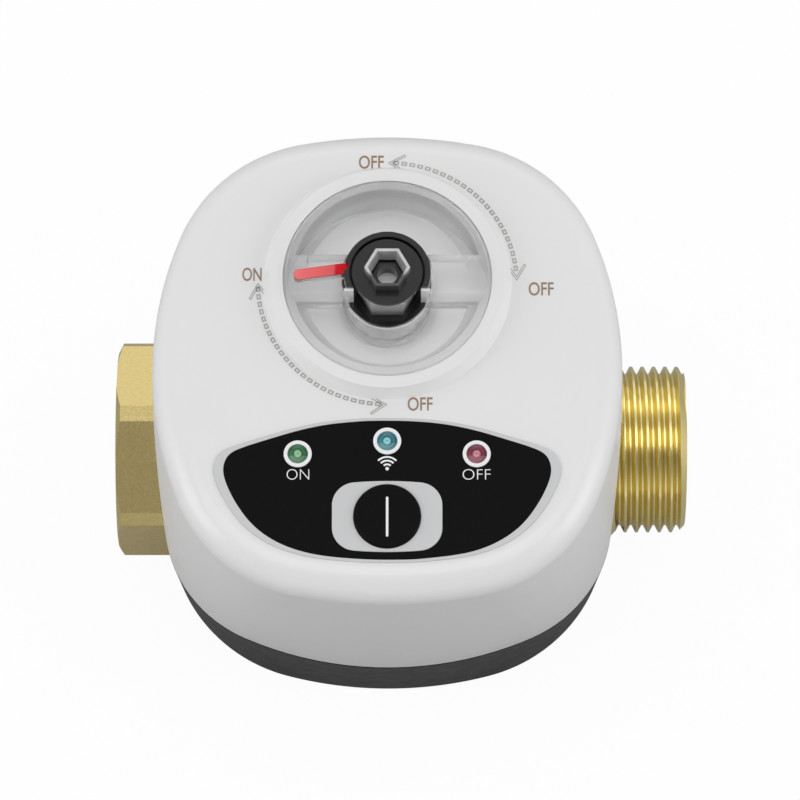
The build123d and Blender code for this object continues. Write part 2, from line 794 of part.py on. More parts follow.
# gasket between the housings, open where the pipe passes
with BuildPart() as parting_gasket:
    extrude(
        rim_face(PIPE_Z - GASKET_T, GASKET_INSET) - rim_face(PIPE_Z - GASKET_T, GASKET_INSET + GASKET_W),
        amount=GASKET_T,
    )
    extrude(pipe_disc(OPENING_IN_X, OPENING_IN_R), amount=-RIM_HALF_W, mode=Mode.SUBTRACT)
    extrude(pipe_disc(OPENING_OUT_X, OPENING_OUT_R), amount=RIM_HALF_W, mode=Mode.SUBTRACT)
    with BuildSketch(Plane.XY.offset(PIPE_Z - GASKET_T)) as gasket_holes:
        with Locations(*SCREW_SPOTS):
            Circle(SCREW_CLEAR_R)
    extrude(amount=GASKET_T, mode=Mode.SUBTRACT)
save(parting_gasket, "parting_gasket")

# rubber rings the pipe rests in
with BuildPart() as pipe_seals:
    for x in (-SEAL_X, SEAL_X):
        extrude(pipe_disc(x - SEAL_W / 2, SEAL_R, NECK_R + SEAT_GAP), amount=SEAL_W)
save(pipe_seals, "pipe_seals")

outlet_groove = thread_groove(
    THREAD_MAJOR_R,
    THREAD_MINOR_R,
    OUT_THREAD_X - THREAD_PITCH / 2,
    OUT_END_X - OUT_THREAD_X + 2 * THREAD_PITCH,
)
inlet_groove = thread_groove(
    THREAD_MINOR_R,
    THREAD_MAJOR_R,
    HEX_END_X - THREAD_PITCH,
    INLET_THREAD_LEN + THREAD_PITCH + INLET_RELIEF_LEN / 2,
)

# brass body: chamber, neck, outlet thread, boss and flange for the drive
with BuildPart() as valve_body:
    revolve(
        pipe_profile(
            (
                (PLUG_FACE_X, 0),
                (PLUG_FACE_X, BODY_R),
                (BODY_SHOULDER_X, BODY_R),
                (BODY_CONE_X, NECK_R),
                (COLLAR_END_X, NECK_R),
                (COLLAR_END_X + NECK_R - RELIEF_R, RELIEF_R),
                (OUT_THREAD_X - THREAD_MAJOR_R + RELIEF_R, RELIEF_R),
                (OUT_THREAD_X, THREAD_MAJOR_R),
                (OUT_END_X - OUT_CHAMFER, THREAD_MAJOR_R),
                (OUT_END_X, THREAD_MAJOR_R - OUT_CHAMFER),
                (OUT_END_X, 0),
            )
        ),
        axis=PIPE_AXIS,
    )
    add(outlet_groove, mode=Mode.SUBTRACT)
    with BuildSketch(Plane.XY.offset(PIPE_Z + PASSAGE_R)) as boss_root:
        Circle(BOSS_ROOT_R)
    extrude(amount=FLANGE_Z - PIPE_Z - PASSAGE_R)
    with BuildSketch(Plane.XY.offset(FLANGE_Z)) as flange:
        RectangleRounded(FLANGE_W, FLANGE_W, FLANGE_CORNER_R)
    extrude(amount=FLANGE_T)
    extrude(disc(FLANGE_Z, BOSS_R), amount=BOSS_TOP_Z - FLANGE_Z)
    # chamber, passage and stem bore
    extrude(
        pipe_disc(PLUG_FACE_X - OVERRUN, CHAMBER_R),
        amount=OVERRUN - PLUG_FACE_X - PLUG_END_X,
        mode=Mode.SUBTRACT,
    )
    extrude(pipe_disc(0, PASSAGE_R), amount=OUT_END_X + OVERRUN, mode=Mode.SUBTRACT)
    extrude(disc(PIPE_Z, COUNTERBORE_R), amount=COUNTERBORE_Z - PIPE_Z, mode=Mode.SUBTRACT)
    extrude(
        disc(PIPE_Z, STEM_R + RUN_GAP), amount=BOSS_TOP_Z - PIPE_Z + OVERRUN, mode=Mode.SUBTRACT
    )
    extrude(disc(PACK_Z, PACK_R), amount=BOSS_TOP_Z - PACK_Z + OVERRUN, mode=Mode.SUBTRACT)
    with BuildSketch(Plane.XY.offset(FLANGE_Z - OVERRUN)) as flange_holes:
        with Locations(*PILLAR_SPOTS):
            Circle(PILLAR_BORE_R)
    extrude(amount=FLANGE_T + 2 * OVERRUN, mode=Mode.SUBTRACT)
save(valve_body, "valve_body")

# brass inlet end: hexagon with inside thread, neck and the plug that holds the seats
with BuildPart() as end_connector:
    hex_plane = Plane(origin=(HEX_END_X, 0, PIPE_Z), x_dir=(0, 1, 0), z_dir=(1, 0, 0))
    with BuildSketch(hex_plane) as hex_outline:
        RegularPolygon(HEX_AF / 2, 6, major_radius=False, rotation=30)
        chamfer(hex_outline.vertices(), HEX_EDGE_L)
    extrude(amount=HEX_INNER_X - HEX_END_X)
    corner_r = HEX_AF / sqrt(3)
    revolve(
        pipe_profile(
            (
                (HEX_END_X - HEX_CHAMFER, corner_r - 2 * HEX_CHAMFER_IN),
                (HEX_END_X - HEX_CHAMFER, corner_r + HEX_CHAMFER_IN),
                (HEX_END_X + 2 * HEX_CHAMFER, corner_r + HEX_CHAMFER_IN),
            )
        ),
        axis=PIPE_AXIS,
        mode=Mode.SUBTRACT,
    )
    extrude(pipe_disc(HEX_INNER_X, NECK_R), amount=PLUG_FACE_X - HEX_INNER_X - SEAT_GAP)
    extrude(pipe_disc(PLUG_FACE_X - OVERRUN, PLUG_R), amount=PLUG_END_X - PLUG_FACE_X + OVERRUN)
    extrude(
        pipe_disc(HEX_END_X - OVERRUN, PASSAGE_R),
        amount=PLUG_END_X - HEX_END_X + 2 * OVERRUN,
        mode=Mode.SUBTRACT,
    )
    extrude(
        pipe_disc(HEX_END_X - OVERRUN, THREAD_MINOR_R),
        amount=INLET_THREAD_LEN + INLET_RELIEF_LEN + OVERRUN,
        mode=Mode.SUBTRACT,
    )
    extrude(
        pipe_disc(HEX_END_X + INLET_THREAD_LEN, INLET_RELIEF_R),
        amount=INLET_RELIEF_LEN,
        mode=Mode.SUBTRACT,
    )
    revolve(
        pipe_profile(
            (
                (HEX_END_X - OVERRUN, 0),
                (HEX_END_X - OVERRUN, THREAD_MAJOR_R + OVERRUN),
                (HEX_END_X + THREAD_MAJOR_R, 0),
            )
        ),
        axis=PIPE_AXIS,
        mode=Mode.SUBTRACT,
    )
    add(inlet_groove, mode=Mode.SUBTRACT)
save(end_connector, "end_connector")

# ball with its bore along the pipe and a slot for the stem
with BuildPart() as ball:
    with BuildSketch(Plane.XZ) as ball_half:
        with Locations((0, PIPE_Z)):
            Circle(BALL_R)
            Rectangle(2 * BALL_R, 2 * BALL_R, align=(Align.MAX, Align.CENTER), mode=Mode.SUBTRACT)
    revolve(axis=Axis.Z)
    extrude(pipe_disc(-BALL_R - OVERRUN, PASSAGE_R), amount=2 * (BALL_R + OVERRUN), mode=Mode.SUBTRACT)
    extrude(plate(SLOT_FLOOR_Z, SLOT_W, 2 * BALL_R), amount=BALL_R, mode=Mode.SUBTRACT)
save(ball, "ball")

# seat rings on both sides of the ball
with BuildPart() as seat_rings:
    seat_r = BALL_R + RUN_GAP
    seat_out = CHAMBER_R - SEAT_GAP
    seat_in = PASSAGE_R + SEAT_GAP
    seat_end = -PLUG_END_X - SEAT_GAP
    seat_out_x = SEAT_IN_X
    arc_start = (seat_out_x, sqrt(seat_r**2 - seat_out_x**2))
    arc_end = (sqrt(seat_r**2 - seat_in**2), seat_in)
    for side in (-1, 1):
        with BuildSketch(Plane.XZ) as seat_section:
            with BuildLine():
                Polyline(
                    (side * arc_end[0], PIPE_Z + arc_end[1]),
                    (side * seat_end, PIPE_Z + seat_in),
                    (side * seat_end, PIPE_Z + seat_out),
                    (side * arc_start[0], PIPE_Z + seat_out),
                    (side * arc_start[0], PIPE_Z + arc_start[1]),
                )
                RadiusArc(
                    (side * arc_start[0], PIPE_Z + arc_start[1]),
                    (side * arc_end[0], PIPE_Z + arc_end[1]),
                    side * seat_r,
                )
            make_face()
        revolve(seat_section.sketch, axis=PIPE_AXIS)
save(seat_rings, "seat_rings")

# stem: tongue, flange, shank with two ring grooves and a square top
with BuildPart() as stem:
    extrude(plate(TONGUE_Z, TONGUE_W, TONGUE_L), amount=STEM_FLANGE_Z - TONGUE_Z)
    groove_half = ORING_GROOVE_W / 2
    groove_r = STEM_R - 2 * ORING_SECTION_R
    low, high = ORING_Z
    revolve(
        upright_profile(
            (
                (0, STEM_FLANGE_Z),
                (STEM_FLANGE_R, STEM_FLANGE_Z),
                (STEM_FLANGE_R, WASHER_Z),
                (STEM_R, WASHER_Z),
                (STEM_R, low - groove_half),
                (groove_r, low - groove_half),
                (groove_r, low + groove_half),
                (STEM_R, low + groove_half),
                (STEM_R, high - groove_half),
                (groove_r, high - groove_half),
                (groove_r, high + groove_half),
                (STEM_R, high + groove_half),
                (STEM_R, STEM_SQUARE_Z),
                (0, STEM_SQUARE_Z),
            )
        ),
        axis=Axis.Z,
    )
    extrude(plate(STEM_SQUARE_Z, STEM_SQUARE, STEM_SQUARE), amount=STEM_TOP_Z - STEM_SQUARE_Z)
save(stem, "stem")

with BuildPart() as stem_orings:
    with BuildSketch(Plane.XZ) as oring_sections:
        with Locations(*[(STEM_R - ORING_SECTION_R + SEAT_GAP, z) for z in ORING_Z]):
            Circle(ORING_SECTION_R)
    revolve(axis=Axis.Z)
save(stem_orings, "stem_orings")

with BuildPart() as thrust_washer:
    extrude(
        disc(WASHER_Z + SEAT_GAP, COUNTERBORE_R - RUN_GAP, hole=STEM_R + RUN_GAP),
        amount=COUNTERBORE_Z - WASHER_Z - 2 * SEAT_GAP,
    )
save(thrust_washer, "thrust_washer")

with BuildPart() as packing_rings:
    ring_t = (PACK_TOP_Z - PACK_Z) / 2
    for n in range(2):
        extrude(
            disc(PACK_Z + SEAT_GAP + n * ring_t, PACK_R - SEAT_GAP, hole=STEM_R + RUN_GAP),
            amount=ring_t - SEAT_GAP,
        )
save(packing_rings, "packing_rings")

with BuildPart() as gland_nut:
    extrude(disc(PACK_TOP_Z + SEAT_GAP, PACK_R - SEAT_GAP), amount=BOSS_TOP_Z - PACK_TOP_Z)
    extrude(hexagon(BOSS_TOP_Z + SEAT_GAP, GLAND_AF), amount=GLAND_TOP_Z - BOSS_TOP_Z)
    extrude(disc(PACK_TOP_Z, STEM_R + RUN_GAP), amount=GLAND_TOP_Z, mode=Mode.SUBTRACT)
save(gland_nut, "gland_nut")

# pillars between the valve's flange and the lower gear plate, each with a stud into the flange
with BuildPart() as pillars:
    with BuildSketch(Plane.XY.offset(FLANGE_Z + FLANGE_T + SEAT_GAP)) as pillar_hexes:
        with Locations(*PILLAR_SPOTS):
            RegularPolygon(PILLAR_AF / 2, 6, major_radius=False)
    extrude(amount=PLATE_LOW_Z - FLANGE_Z - FLANGE_T - 2 * SEAT_GAP)
    with BuildSketch(Plane.XY.offset(FLANGE_Z)) as pillar_studs:
        with Locations(*PILLAR_SPOTS):
            Circle(PILLAR_BORE_R - SEAT_GAP)
    extrude(amount=FLANGE_T + OVERRUN)
    with BuildSketch(Plane.XY.offset(PLATE_LOW_Z - FLANGE_T)) as pillar_bores:
        with Locations(*PILLAR_SPOTS):
            Circle(PLATE_SCREW_R + SEAT_GAP)
    extrude(amount=FLANGE_T, mode=Mode.SUBTRACT)
save(pillars, "pillars")

# gear plates
with BuildPart() as gear_plate_lower:
    extrude(plate_face(PLATE_LOW_Z), amount=PLATE_T)
    with BuildSketch(Plane.XY.offset(PLATE_LOW_Z - OVERRUN)) as low_holes:
        Circle(BUSH_R)
        with Locations(CENTRE_M):
            Circle(MOTOR_NOSE_R + SLIDE_GAP)
            with Locations((MOTOR_SCREW_X, 0), (-MOTOR_SCREW_X, 0)):
                Circle(PLATE_SCREW_R + SLIDE_GAP)
        with Locations(CENTRE_1, CENTRE_2):
            Circle(AXLE_R + SEAT_GAP)
        with Locations(*PILLAR_SPOTS, *SPACER_SPOTS):
            Circle(PLATE_SCREW_R + SLIDE_GAP)
    extrude(amount=PLATE_T + 2 * OVERRUN, mode=Mode.SUBTRACT)
save(gear_plate_lower, "gear_plate_lower")

with BuildPart() as gear_plate_upper:
    extrude(plate_face(PLATE_HIGH_Z), amount=PLATE_T)
    with BuildSketch(Plane.XY.offset(PLATE_HIGH_Z - OVERRUN)) as high_holes:
        Circle(BUSH_HIGH_R)
        with Locations(CENTRE_1, CENTRE_2):
            Circle(AXLE_R + SEAT_GAP)
        with Locations(*SPACER_SPOTS):
            Circle(PLATE_SCREW_R + SLIDE_GAP)
    extrude(amount=PLATE_T + 2 * OVERRUN, mode=Mode.SUBTRACT)
save(gear_plate_upper, "gear_plate_upper")

with BuildPart() as plate_spacers:
    with BuildSketch(Plane.XY.offset(PLATE_LOW_Z + PLATE_T + SEAT_GAP)) as spacer_bodies:
        with Locations(*SPACER_SPOTS):
            Circle(SPACER_R)
            Circle(PLATE_SCREW_R + SEAT_GAP, mode=Mode.SUBTRACT)
    extrude(amount=PLATE_HIGH_Z - PLATE_LOW_Z - PLATE_T - 2 * SEAT_GAP)
save(plate_spacers, "plate_spacers")

with BuildPart() as gear_axles:
    with BuildSketch(Plane.XY.offset(PLATE_LOW_Z)) as axle_rods:
        with Locations(CENTRE_1, CENTRE_2):
            Circle(AXLE_R)
    extrude(amount=PLATE_HIGH_Z + PLATE_T - PLATE_LOW_Z)
save(gear_axles, "gear_axles")

# bushings for the drive shaft
with BuildPart() as shaft_bushings:
    extrude(
        disc(PLATE_LOW_Z - BUSH_LIP - SEAT_GAP, BUSH_R + BUSH_LIP_R, hole=SHAFT_FOOT_R + RUN_GAP),
        amount=BUSH_LIP,
    )
    extrude(
        disc(PLATE_LOW_Z - BUSH_LIP - SEAT_GAP, BUSH_R - SEAT_GAP, hole=SHAFT_FOOT_R + RUN_GAP),
        amount=PLATE_T + BUSH_LIP,
    )
    extrude(
        disc(PLATE_HIGH_Z, BUSH_HIGH_R - SEAT_GAP, hole=SHAFT_R + RUN_GAP),
        amount=PLATE_T + BUSH_LIP + SEAT_GAP,
    )
    extrude(
        disc(PLATE_HIGH_Z + PLATE_T + SEAT_GAP, BUSH_HIGH_R + BUSH_LIP_R, hole=SHAFT_R + RUN_GAP),
        amount=BUSH_LIP,
    )
save(shaft_bushings, "shaft_bushings")

# motor with its pinion
with BuildPart() as drive_motor:
    motor_foot = PLATE_LOW_Z - SEAT_GAP - MOTOR_L
    extrude(disc(motor_foot, MOTOR_R, *CENTRE_M), amount=MOTOR_L)
    with BuildSketch(Plane.XY.offset(motor_foot)) as motor_flats:
        with Locations(CENTRE_M):
            Rectangle(2 * MOTOR_R, 2 * MOTOR_R)
            Rectangle(2 * MOTOR_R, 2 * MOTOR_FLAT, mode=Mode.SUBTRACT)
    extrude(amount=MOTOR_L, mode=Mode.SUBTRACT)
    extrude(disc(motor_foot - MOTOR_CAP_T, MOTOR_CAP_R, *CENTRE_M), amount=MOTOR_CAP_T)
    extrude(disc(motor_foot + MOTOR_L, MOTOR_NOSE_R, *CENTRE_M), amount=MOTOR_NOSE_T)
    with BuildSketch(Plane.XY.offset(PLATE_LOW_Z - PLATE_T)) as motor_taps:
        with Locations(CENTRE_M):
            with Locations((MOTOR_SCREW_X, 0), (-MOTOR_SCREW_X, 0)):
                Circle(PLATE_SCREW_R + SEAT_GAP)
    extrude(amount=PLATE_T, mode=Mode.SUBTRACT)
save(drive_motor, "drive_motor")

with BuildPart() as motor_pinion:
    nose_top = PLATE_LOW_Z - SEAT_GAP + MOTOR_NOSE_T
    extrude(
        gear_face(PINION_Z, PINION_TEETH, CENTRE_M, PHASE_PINION), amount=MOTOR_SHAFT_TOP_Z - PINION_Z
    )
    extrude(disc(nose_top + RUN_GAP, MOTOR_SHAFT_R, *CENTRE_M), amount=PINION_Z - nose_top - RUN_GAP)
save(motor_pinion, "motor_pinion")

# idler gears: a big wheel with a small pinion above it
with BuildPart() as idler_gear_1:
    extrude(gear_face(BIG_1_Z, BIG_TEETH, CENTRE_1, 0), amount=GEAR_LOW_T)
    web_r = MODULE * BIG_TEETH / 2
    with BuildSketch(Plane.XY.offset(BIG_1_Z)) as web_1:
        with Locations(CENTRE_1):
            Circle(web_r * WEB_OUT_SHARE)
            Circle(web_r * WEB_IN_SHARE, mode=Mode.SUBTRACT)
    extrude(amount=WEB_RECESS, mode=Mode.SUBTRACT)
    extrude(
        gear_face(SMALL_1_Z, SMALL_1_TEETH, CENTRE_1, PHASE_SMALL_1), amount=SMALL_1_TOP_Z - SMALL_1_Z
    )
    extrude(
        disc(PLATE_LOW_Z + PLATE_T + RUN_GAP, HUB_RING_R, *CENTRE_1),
        amount=BIG_1_Z - PLATE_LOW_Z - PLATE_T,
    )
    extrude(
        disc(PLATE_LOW_Z + PLATE_T, AXLE_R + RUN_GAP, *CENTRE_1),
        amount=SMALL_1_TOP_Z - PLATE_LOW_Z,
        mode=Mode.SUBTRACT,
    )
save(idler_gear_1, "idler_gear_1")

with BuildPart() as idler_gear_2:
    extrude(gear_face(BIG_2_Z, BIG_TEETH, CENTRE_2, 0), amount=BIG_2_T)
    with BuildSketch(Plane.XY.offset(BIG_2_Z)) as web_2:
        with Locations(CENTRE_2):
            Circle(web_r * WEB_OUT_SHARE)
            Circle(web_r * WEB_IN_SHARE, mode=Mode.SUBTRACT)
    extrude(amount=WEB_RECESS, mode=Mode.SUBTRACT)
    extrude(
        gear_face(BIG_2_Z + BIG_2_T, SMALL_2_TEETH, CENTRE_2, PHASE_SMALL_2),
        amount=SMALL_2_TOP_Z - BIG_2_Z - BIG_2_T,
    )
    extrude(
        disc(PLATE_LOW_Z + PLATE_T + RUN_GAP, HUB_RING_R, *CENTRE_2),
        amount=BIG_2_Z - PLATE_LOW_Z - PLATE_T,
    )
    extrude(disc(SMALL_2_TOP_Z, HUB_RING_R, *CENTRE_2), amount=PLATE_HIGH_Z - SMALL_2_TOP_Z - RUN_GAP)
    extrude(
        disc(PLATE_LOW_Z + PLATE_T, AXLE_R + RUN_GAP, *CENTRE_2),
        amount=PLATE_HIGH_Z - PLATE_LOW_Z,
        mode=Mode.SUBTRACT,
    )
save(idler_gear_2, "idler_gear_2")

# output wheel: turned by the train, drives the shaft through the slip clutch
with BuildPart() as output_gear:
    extrude(gear_face(OUTPUT_Z, OUTPUT_TEETH, (0, 0), 0), amount=OUTPUT_T)
    extrude(disc(OUTPUT_Z, SHAFT_R + RUN_GAP), amount=OUTPUT_T, mode=Mode.SUBTRACT)
    magnet_x = MAGNET_ORBIT * cos(radians(MAGNET_ANGLE))
    magnet_y = MAGNET_ORBIT * sin(radians(MAGNET_ANGLE))
    extrude(
        disc(OUTPUT_Z + OUTPUT_T - MAGNET_T, MAGNET_R + SEAT_GAP, magnet_x, magnet_y),
        amount=MAGNET_T,
        mode=Mode.SUBTRACT,
    )
save(output_gear, "output_gear")

with BuildPart() as position_magnet:
    extrude(
        disc(OUTPUT_Z + OUTPUT_T - MAGNET_T + SEAT_GAP, MAGNET_R, magnet_x, magnet_y),
        amount=MAGNET_T - SEAT_GAP,
    )
save(position_magnet, "position_magnet")

with BuildPart() as limit_sensors:
    with BuildSketch(Plane.XY.offset(PLATE_HIGH_Z - SEAT_GAP - SENSOR_T)) as sensors:
        with Locations((magnet_x, magnet_y), (magnet_x, -magnet_y)):
            Rectangle(SENSOR_W, SENSOR_W)
    extrude(amount=SENSOR_T)
save(limit_sensors, "limit_sensors")

# drive shaft from the stem up to the knob
with BuildPart() as drive_shaft:
    revolve(
        upright_profile(
            (
                (0, SHAFT_FOOT_Z),
                (SHAFT_FOOT_R, SHAFT_FOOT_Z),
                (SHAFT_FOOT_R, SHAFT_FOOT_TOP_Z),
                (SHAFT_R, SHAFT_FOOT_TOP_Z + SHAFT_FOOT_R - SHAFT_R),
                (SHAFT_R, SHAFT_FLANGE_Z),
                (SHAFT_FLANGE_R, SHAFT_FLANGE_Z),
                (SHAFT_FLANGE_R, OUTPUT_Z - STACK_GAP),
                (SHAFT_R, OUTPUT_Z - STACK_GAP),
                (SHAFT_R, SHAFT_HEX_Z),
                (0, SHAFT_HEX_Z),
            )
        ),
        axis=Axis.Z,
    )
    extrude(hexagon(SHAFT_HEX_Z, SHAFT_HEX_AF), amount=SHAFT_TOP_Z - SHAFT_HEX_Z)
    socket_w = STEM_SQUARE + 2 * SEAT_GAP
    extrude(
        plate(SHAFT_FOOT_Z, socket_w, socket_w),
        amount=STEM_TOP_Z + SEAT_GAP - SHAFT_FOOT_Z,
        mode=Mode.SUBTRACT,
    )
save(drive_shaft, "drive_shaft")

clutch_z = OUTPUT_Z + OUTPUT_T + STACK_GAP
spring_z = clutch_z + CLUTCH_RING_T
collar_z = spring_z + CLUTCH_SPRING_H
with BuildPart() as clutch_ring:
    extrude(disc(clutch_z, CLUTCH_RING_R, hole=SHAFT_R + SEAT_GAP), amount=CLUTCH_RING_T)
save(clutch_ring, "clutch_ring")

# coned disc spring
with BuildPart() as clutch_spring:
    inner = SHAFT_R + SEAT_GAP
    revolve(
        upright_profile(
            (
                (inner, collar_z - CLUTCH_SPRING_T),
                (CLUTCH_SPRING_R, spring_z),
                (CLUTCH_SPRING_R, spring_z + CLUTCH_SPRING_T),
                (inner, collar_z),
            )
        ),
        axis=Axis.Z,
    )
save(clutch_spring, "clutch_spring")

with BuildPart() as clutch_collar:
    extrude(disc(collar_z, CLUTCH_COLLAR_R, hole=SHAFT_R + SEAT_GAP), amount=CLUTCH_COLLAR_T)
save(clutch_collar, "clutch_collar")

# hub, its ring and seal
with BuildPart() as drive_hub:
    revolve(
        upright_profile(
            (
                (0, HUB_FOOT_Z),
                (HUB_NECK_R, HUB_FOOT_Z),
                (HUB_NECK_R, KNOB_BASE_Z),
                (HUB_R, KNOB_BASE_Z),
                (HUB_R, HUB_TOP_Z),
                (HUB_CUP_R, HUB_TOP_Z),
                (HUB_CUP_R, HUB_CUP_Z),
                (0, HUB_CUP_Z),
            )
        ),
        axis=Axis.Z,
    )
    extrude(
        disc(HUB_FOOT_Z, SHAFT_R + SEAT_GAP),
        amount=SHAFT_HEX_Z + SEAT_GAP - HUB_FOOT_Z,
        mode=Mode.SUBTRACT,
    )
    extrude(
        hexagon(HUB_FOOT_Z, SHAFT_HEX_AF + 2 * SEAT_GAP),
        amount=SHAFT_TOP_Z + SEAT_GAP - HUB_FOOT_Z,
        mode=Mode.SUBTRACT,
    )
    # upright wall round the back and sides, notched for the pointer
    with BuildSketch(Plane.XY.offset(HUB_TOP_Z)) as hub_wall:
        Circle(HUB_WALL_R)
        Circle(HUB_CUP_R, mode=Mode.SUBTRACT)
        with Locations((0, HUB_WALL_FRONT_Y)):
            Rectangle(2 * HUB_R, HUB_R, align=(Align.CENTER, Align.MAX), mode=Mode.SUBTRACT)
    extrude(amount=HUB_WALL_H)
    extrude(
        pointer_face(BAR_TOP_Z - POINTER_T, SEAT_GAP), amount=HUB_WALL_H, mode=Mode.SUBTRACT
    )
save(drive_hub, "drive_hub")

with BuildPart() as hub_ring:
    extrude(
        disc(HUB_TOP_Z - HUB_RING_T, KNOB_BORE_R - SEAT_GAP, hole=HUB_R + SEAT_GAP), amount=HUB_RING_T
    )
save(hub_ring, "hub_ring")

with BuildPart() as shaft_seal:
    extrude(
        disc(WELL_FLOOR_Z - SHAFT_SEAL_T + SEAT_GAP, SHAFT_SEAL_R, hole=HUB_NECK_R + RUN_GAP),
        amount=SHAFT_SEAL_T - SEAT_GAP,
    )
save(shaft_seal, "shaft_seal")

# clear hand knob: two shallow pockets with a grip bar between them and a bore for the hub
with BuildPart() as grip_bar:
    bar_h = BAR_TOP_Z - POCKET_Z
    with BuildSketch(Plane.YZ) as bar_section:
        with Locations((0, POCKET_Z + bar_h / 2)):
            Rectangle(BAR_W, bar_h)
        fillet(bar_section.vertices().group_by(Axis.Z)[-1], BAR_EDGE_R)
    extrude(amount=KNOB_R, both=True)
    extrude(disc(POCKET_Z, BAR_REACH), amount=bar_h, mode=Mode.INTERSECT)

with BuildPart() as manual_knob:
    extrude(disc(KNOB_BASE_Z, KNOB_R), amount=RING_Z - KNOB_BASE_Z)
    fillet(manual_knob.faces().sort_by(Axis.Z)[-1].edges(), KNOB_EDGE_R)
    flare = (POCKET_R - POCKET_FLOOR_R) * OVERRUN / POCKET_DEPTH
    revolve(
        upright_profile(
            (
                (0, POCKET_Z),
                (POCKET_FLOOR_R, POCKET_Z),
                (POCKET_R + flare, RING_Z + OVERRUN),
                (0, RING_Z + OVERRUN),
            )
        ),
        axis=Axis.Z,
        mode=Mode.SUBTRACT,
    )
    add(grip_bar.part)
    extrude(disc(KNOB_BASE_Z, HUB_R + SEAT_GAP), amount=BAR_TOP_Z, mode=Mode.SUBTRACT)
    extrude(
        disc(HUB_TOP_Z - HUB_RING_T - SEAT_GAP, KNOB_BORE_R), amount=BAR_TOP_Z, mode=Mode.SUBTRACT
    )
    extrude(
        pointer_face(BAR_TOP_Z - POINTER_T, SEAT_GAP), amount=POINTER_T + OVERRUN, mode=Mode.SUBTRACT
    )
    # notches for the tabs
    with BuildSketch(Plane.XY.offset(HUB_TOP_Z)) as tab_notches:
        with Locations((-TAB_X, TAB_Y), (TAB_X, TAB_Y)):
            Rectangle(TAB_W + 2 * SEAT_GAP, TAB_D + 2 * SEAT_GAP)
    extrude(amount=BAR_TOP_Z, mode=Mode.SUBTRACT)
save(manual_knob, "manual_knob")

with BuildPart() as pointer_bar:
    extrude(
        pointer_face(BAR_TOP_Z - POINTER_T + SEAT_GAP), amount=POINTER_T - SEAT_GAP + POINTER_PROUD
    )
save(pointer_bar, "pointer_bar")

with BuildPart() as hub_tabs:
    with BuildSketch(Plane.XY.offset(HUB_TOP_Z + SEAT_GAP)) as tab_faces:
        with Locations((-TAB_X, TAB_Y), (TAB_X, TAB_Y)):
            Rectangle(TAB_W, TAB_D)
    extrude(amount=TAB_H)
save(hub_tabs, "hub_tabs")

# bright hexagon nut, black disc and hexagon socket in the knob's middle
with BuildPart() as hub_nut:
    extrude(hexagon(HUB_CUP_Z + SEAT_GAP, NUT_AF), amount=NUT_TOP_Z - HUB_CUP_Z - SEAT_GAP)
    extrude(
        disc(SOCKET_STEP_Z - SOCKET_FOOT_R, SOCKET_FOOT_R),
        amount=OVERRUN + SOCKET_FOOT_R,
        mode=Mode.SUBTRACT,
    )
save(hub_nut, "hub_nut")

with BuildPart() as hub_cap:
    extrude(
        disc(NUT_TOP_Z + SEAT_GAP, DISC_R, hole=SOCKET_FOOT_R + SEAT_GAP),
        amount=DISC_TOP_Z - NUT_TOP_Z - SEAT_GAP,
    )
save(hub_cap, "hub_cap")

with BuildPart() as hex_socket:
    extrude(hexagon(DISC_TOP_Z + SEAT_GAP, SOCKET_AF), amount=SOCKET_TOP_Z - DISC_TOP_Z - SEAT_GAP)
    extrude(
        disc(SOCKET_STEP_Z - SOCKET_FOOT_R + SEAT_GAP, SOCKET_FOOT_R - SEAT_GAP),
        amount=DISC_TOP_Z - SOCKET_STEP_Z + SOCKET_FOOT_R,
    )
    loft(
        sections=[
            hexagon(SOCKET_STEP_Z, SOCKET_INNER_AF),
            hexagon(SOCKET_TOP_Z, SOCKET_AF - 2 * SOCKET_WALL),
        ],
        mode=Mode.SUBTRACT,
    )
    extrude(
        disc(SOCKET_STEP_Z - SOCKET_FOOT_R, SOCKET_HOLE_R),
        amount=SOCKET_FOOT_R + OVERRUN,
        mode=Mode.SUBTRACT,
    )
save(hex_socket, "hex_socket")

# panel
PANEL_FLOOR_Z = TOP_Z - PANEL_POCKET
with BuildPart() as panel_overlay:
    extrude(panel_face(PANEL_FLOOR_Z + SEAT_GAP), amount=PANEL_POCKET - SEAT_GAP + PANEL_PROUD)
    extrude(pad_face(PANEL_FLOOR_Z, SEAT_GAP), amount=PANEL_POCKET + OVERRUN, mode=Mode.SUBTRACT)
    with BuildSketch(Plane.XY.offset(PANEL_FLOOR_Z)) as lamp_holes:
        with Locations(*LAMP_SPOTS.values()):
            Circle(LAMP_HOLE_R)
    extrude(amount=PANEL_POCKET + OVERRUN, mode=Mode.SUBTRACT)
save(panel_overlay, "panel_overlay")

with BuildPart() as panel_border:
    extrude(
        panel_face(PANEL_FLOOR_Z + SEAT_GAP, BORDER_SIDE - SEAT_GAP, BORDER_END - SEAT_GAP),
        amount=PANEL_POCKET - SEAT_GAP + BORDER_PROUD,
    )
    extrude(
        panel_face(PANEL_FLOOR_Z, SEAT_GAP, SEAT_GAP), amount=PANEL_POCKET + OVERRUN, mode=Mode.SUBTRACT
    )
save(panel_border, "panel_border")

with BuildPart() as led_rings:
    with BuildSketch(Plane.XY.offset(TOP_Z + PANEL_PROUD + SEAT_GAP)) as lamp_rings:
        with Locations(*LAMP_SPOTS.values()):
            Circle(LAMP_RING_R)
            Circle(LAMP_R + SEAT_GAP, mode=Mode.SUBTRACT)
    extrude(amount=LAMP_RING_PROUD)
save(led_rings, "led_rings")


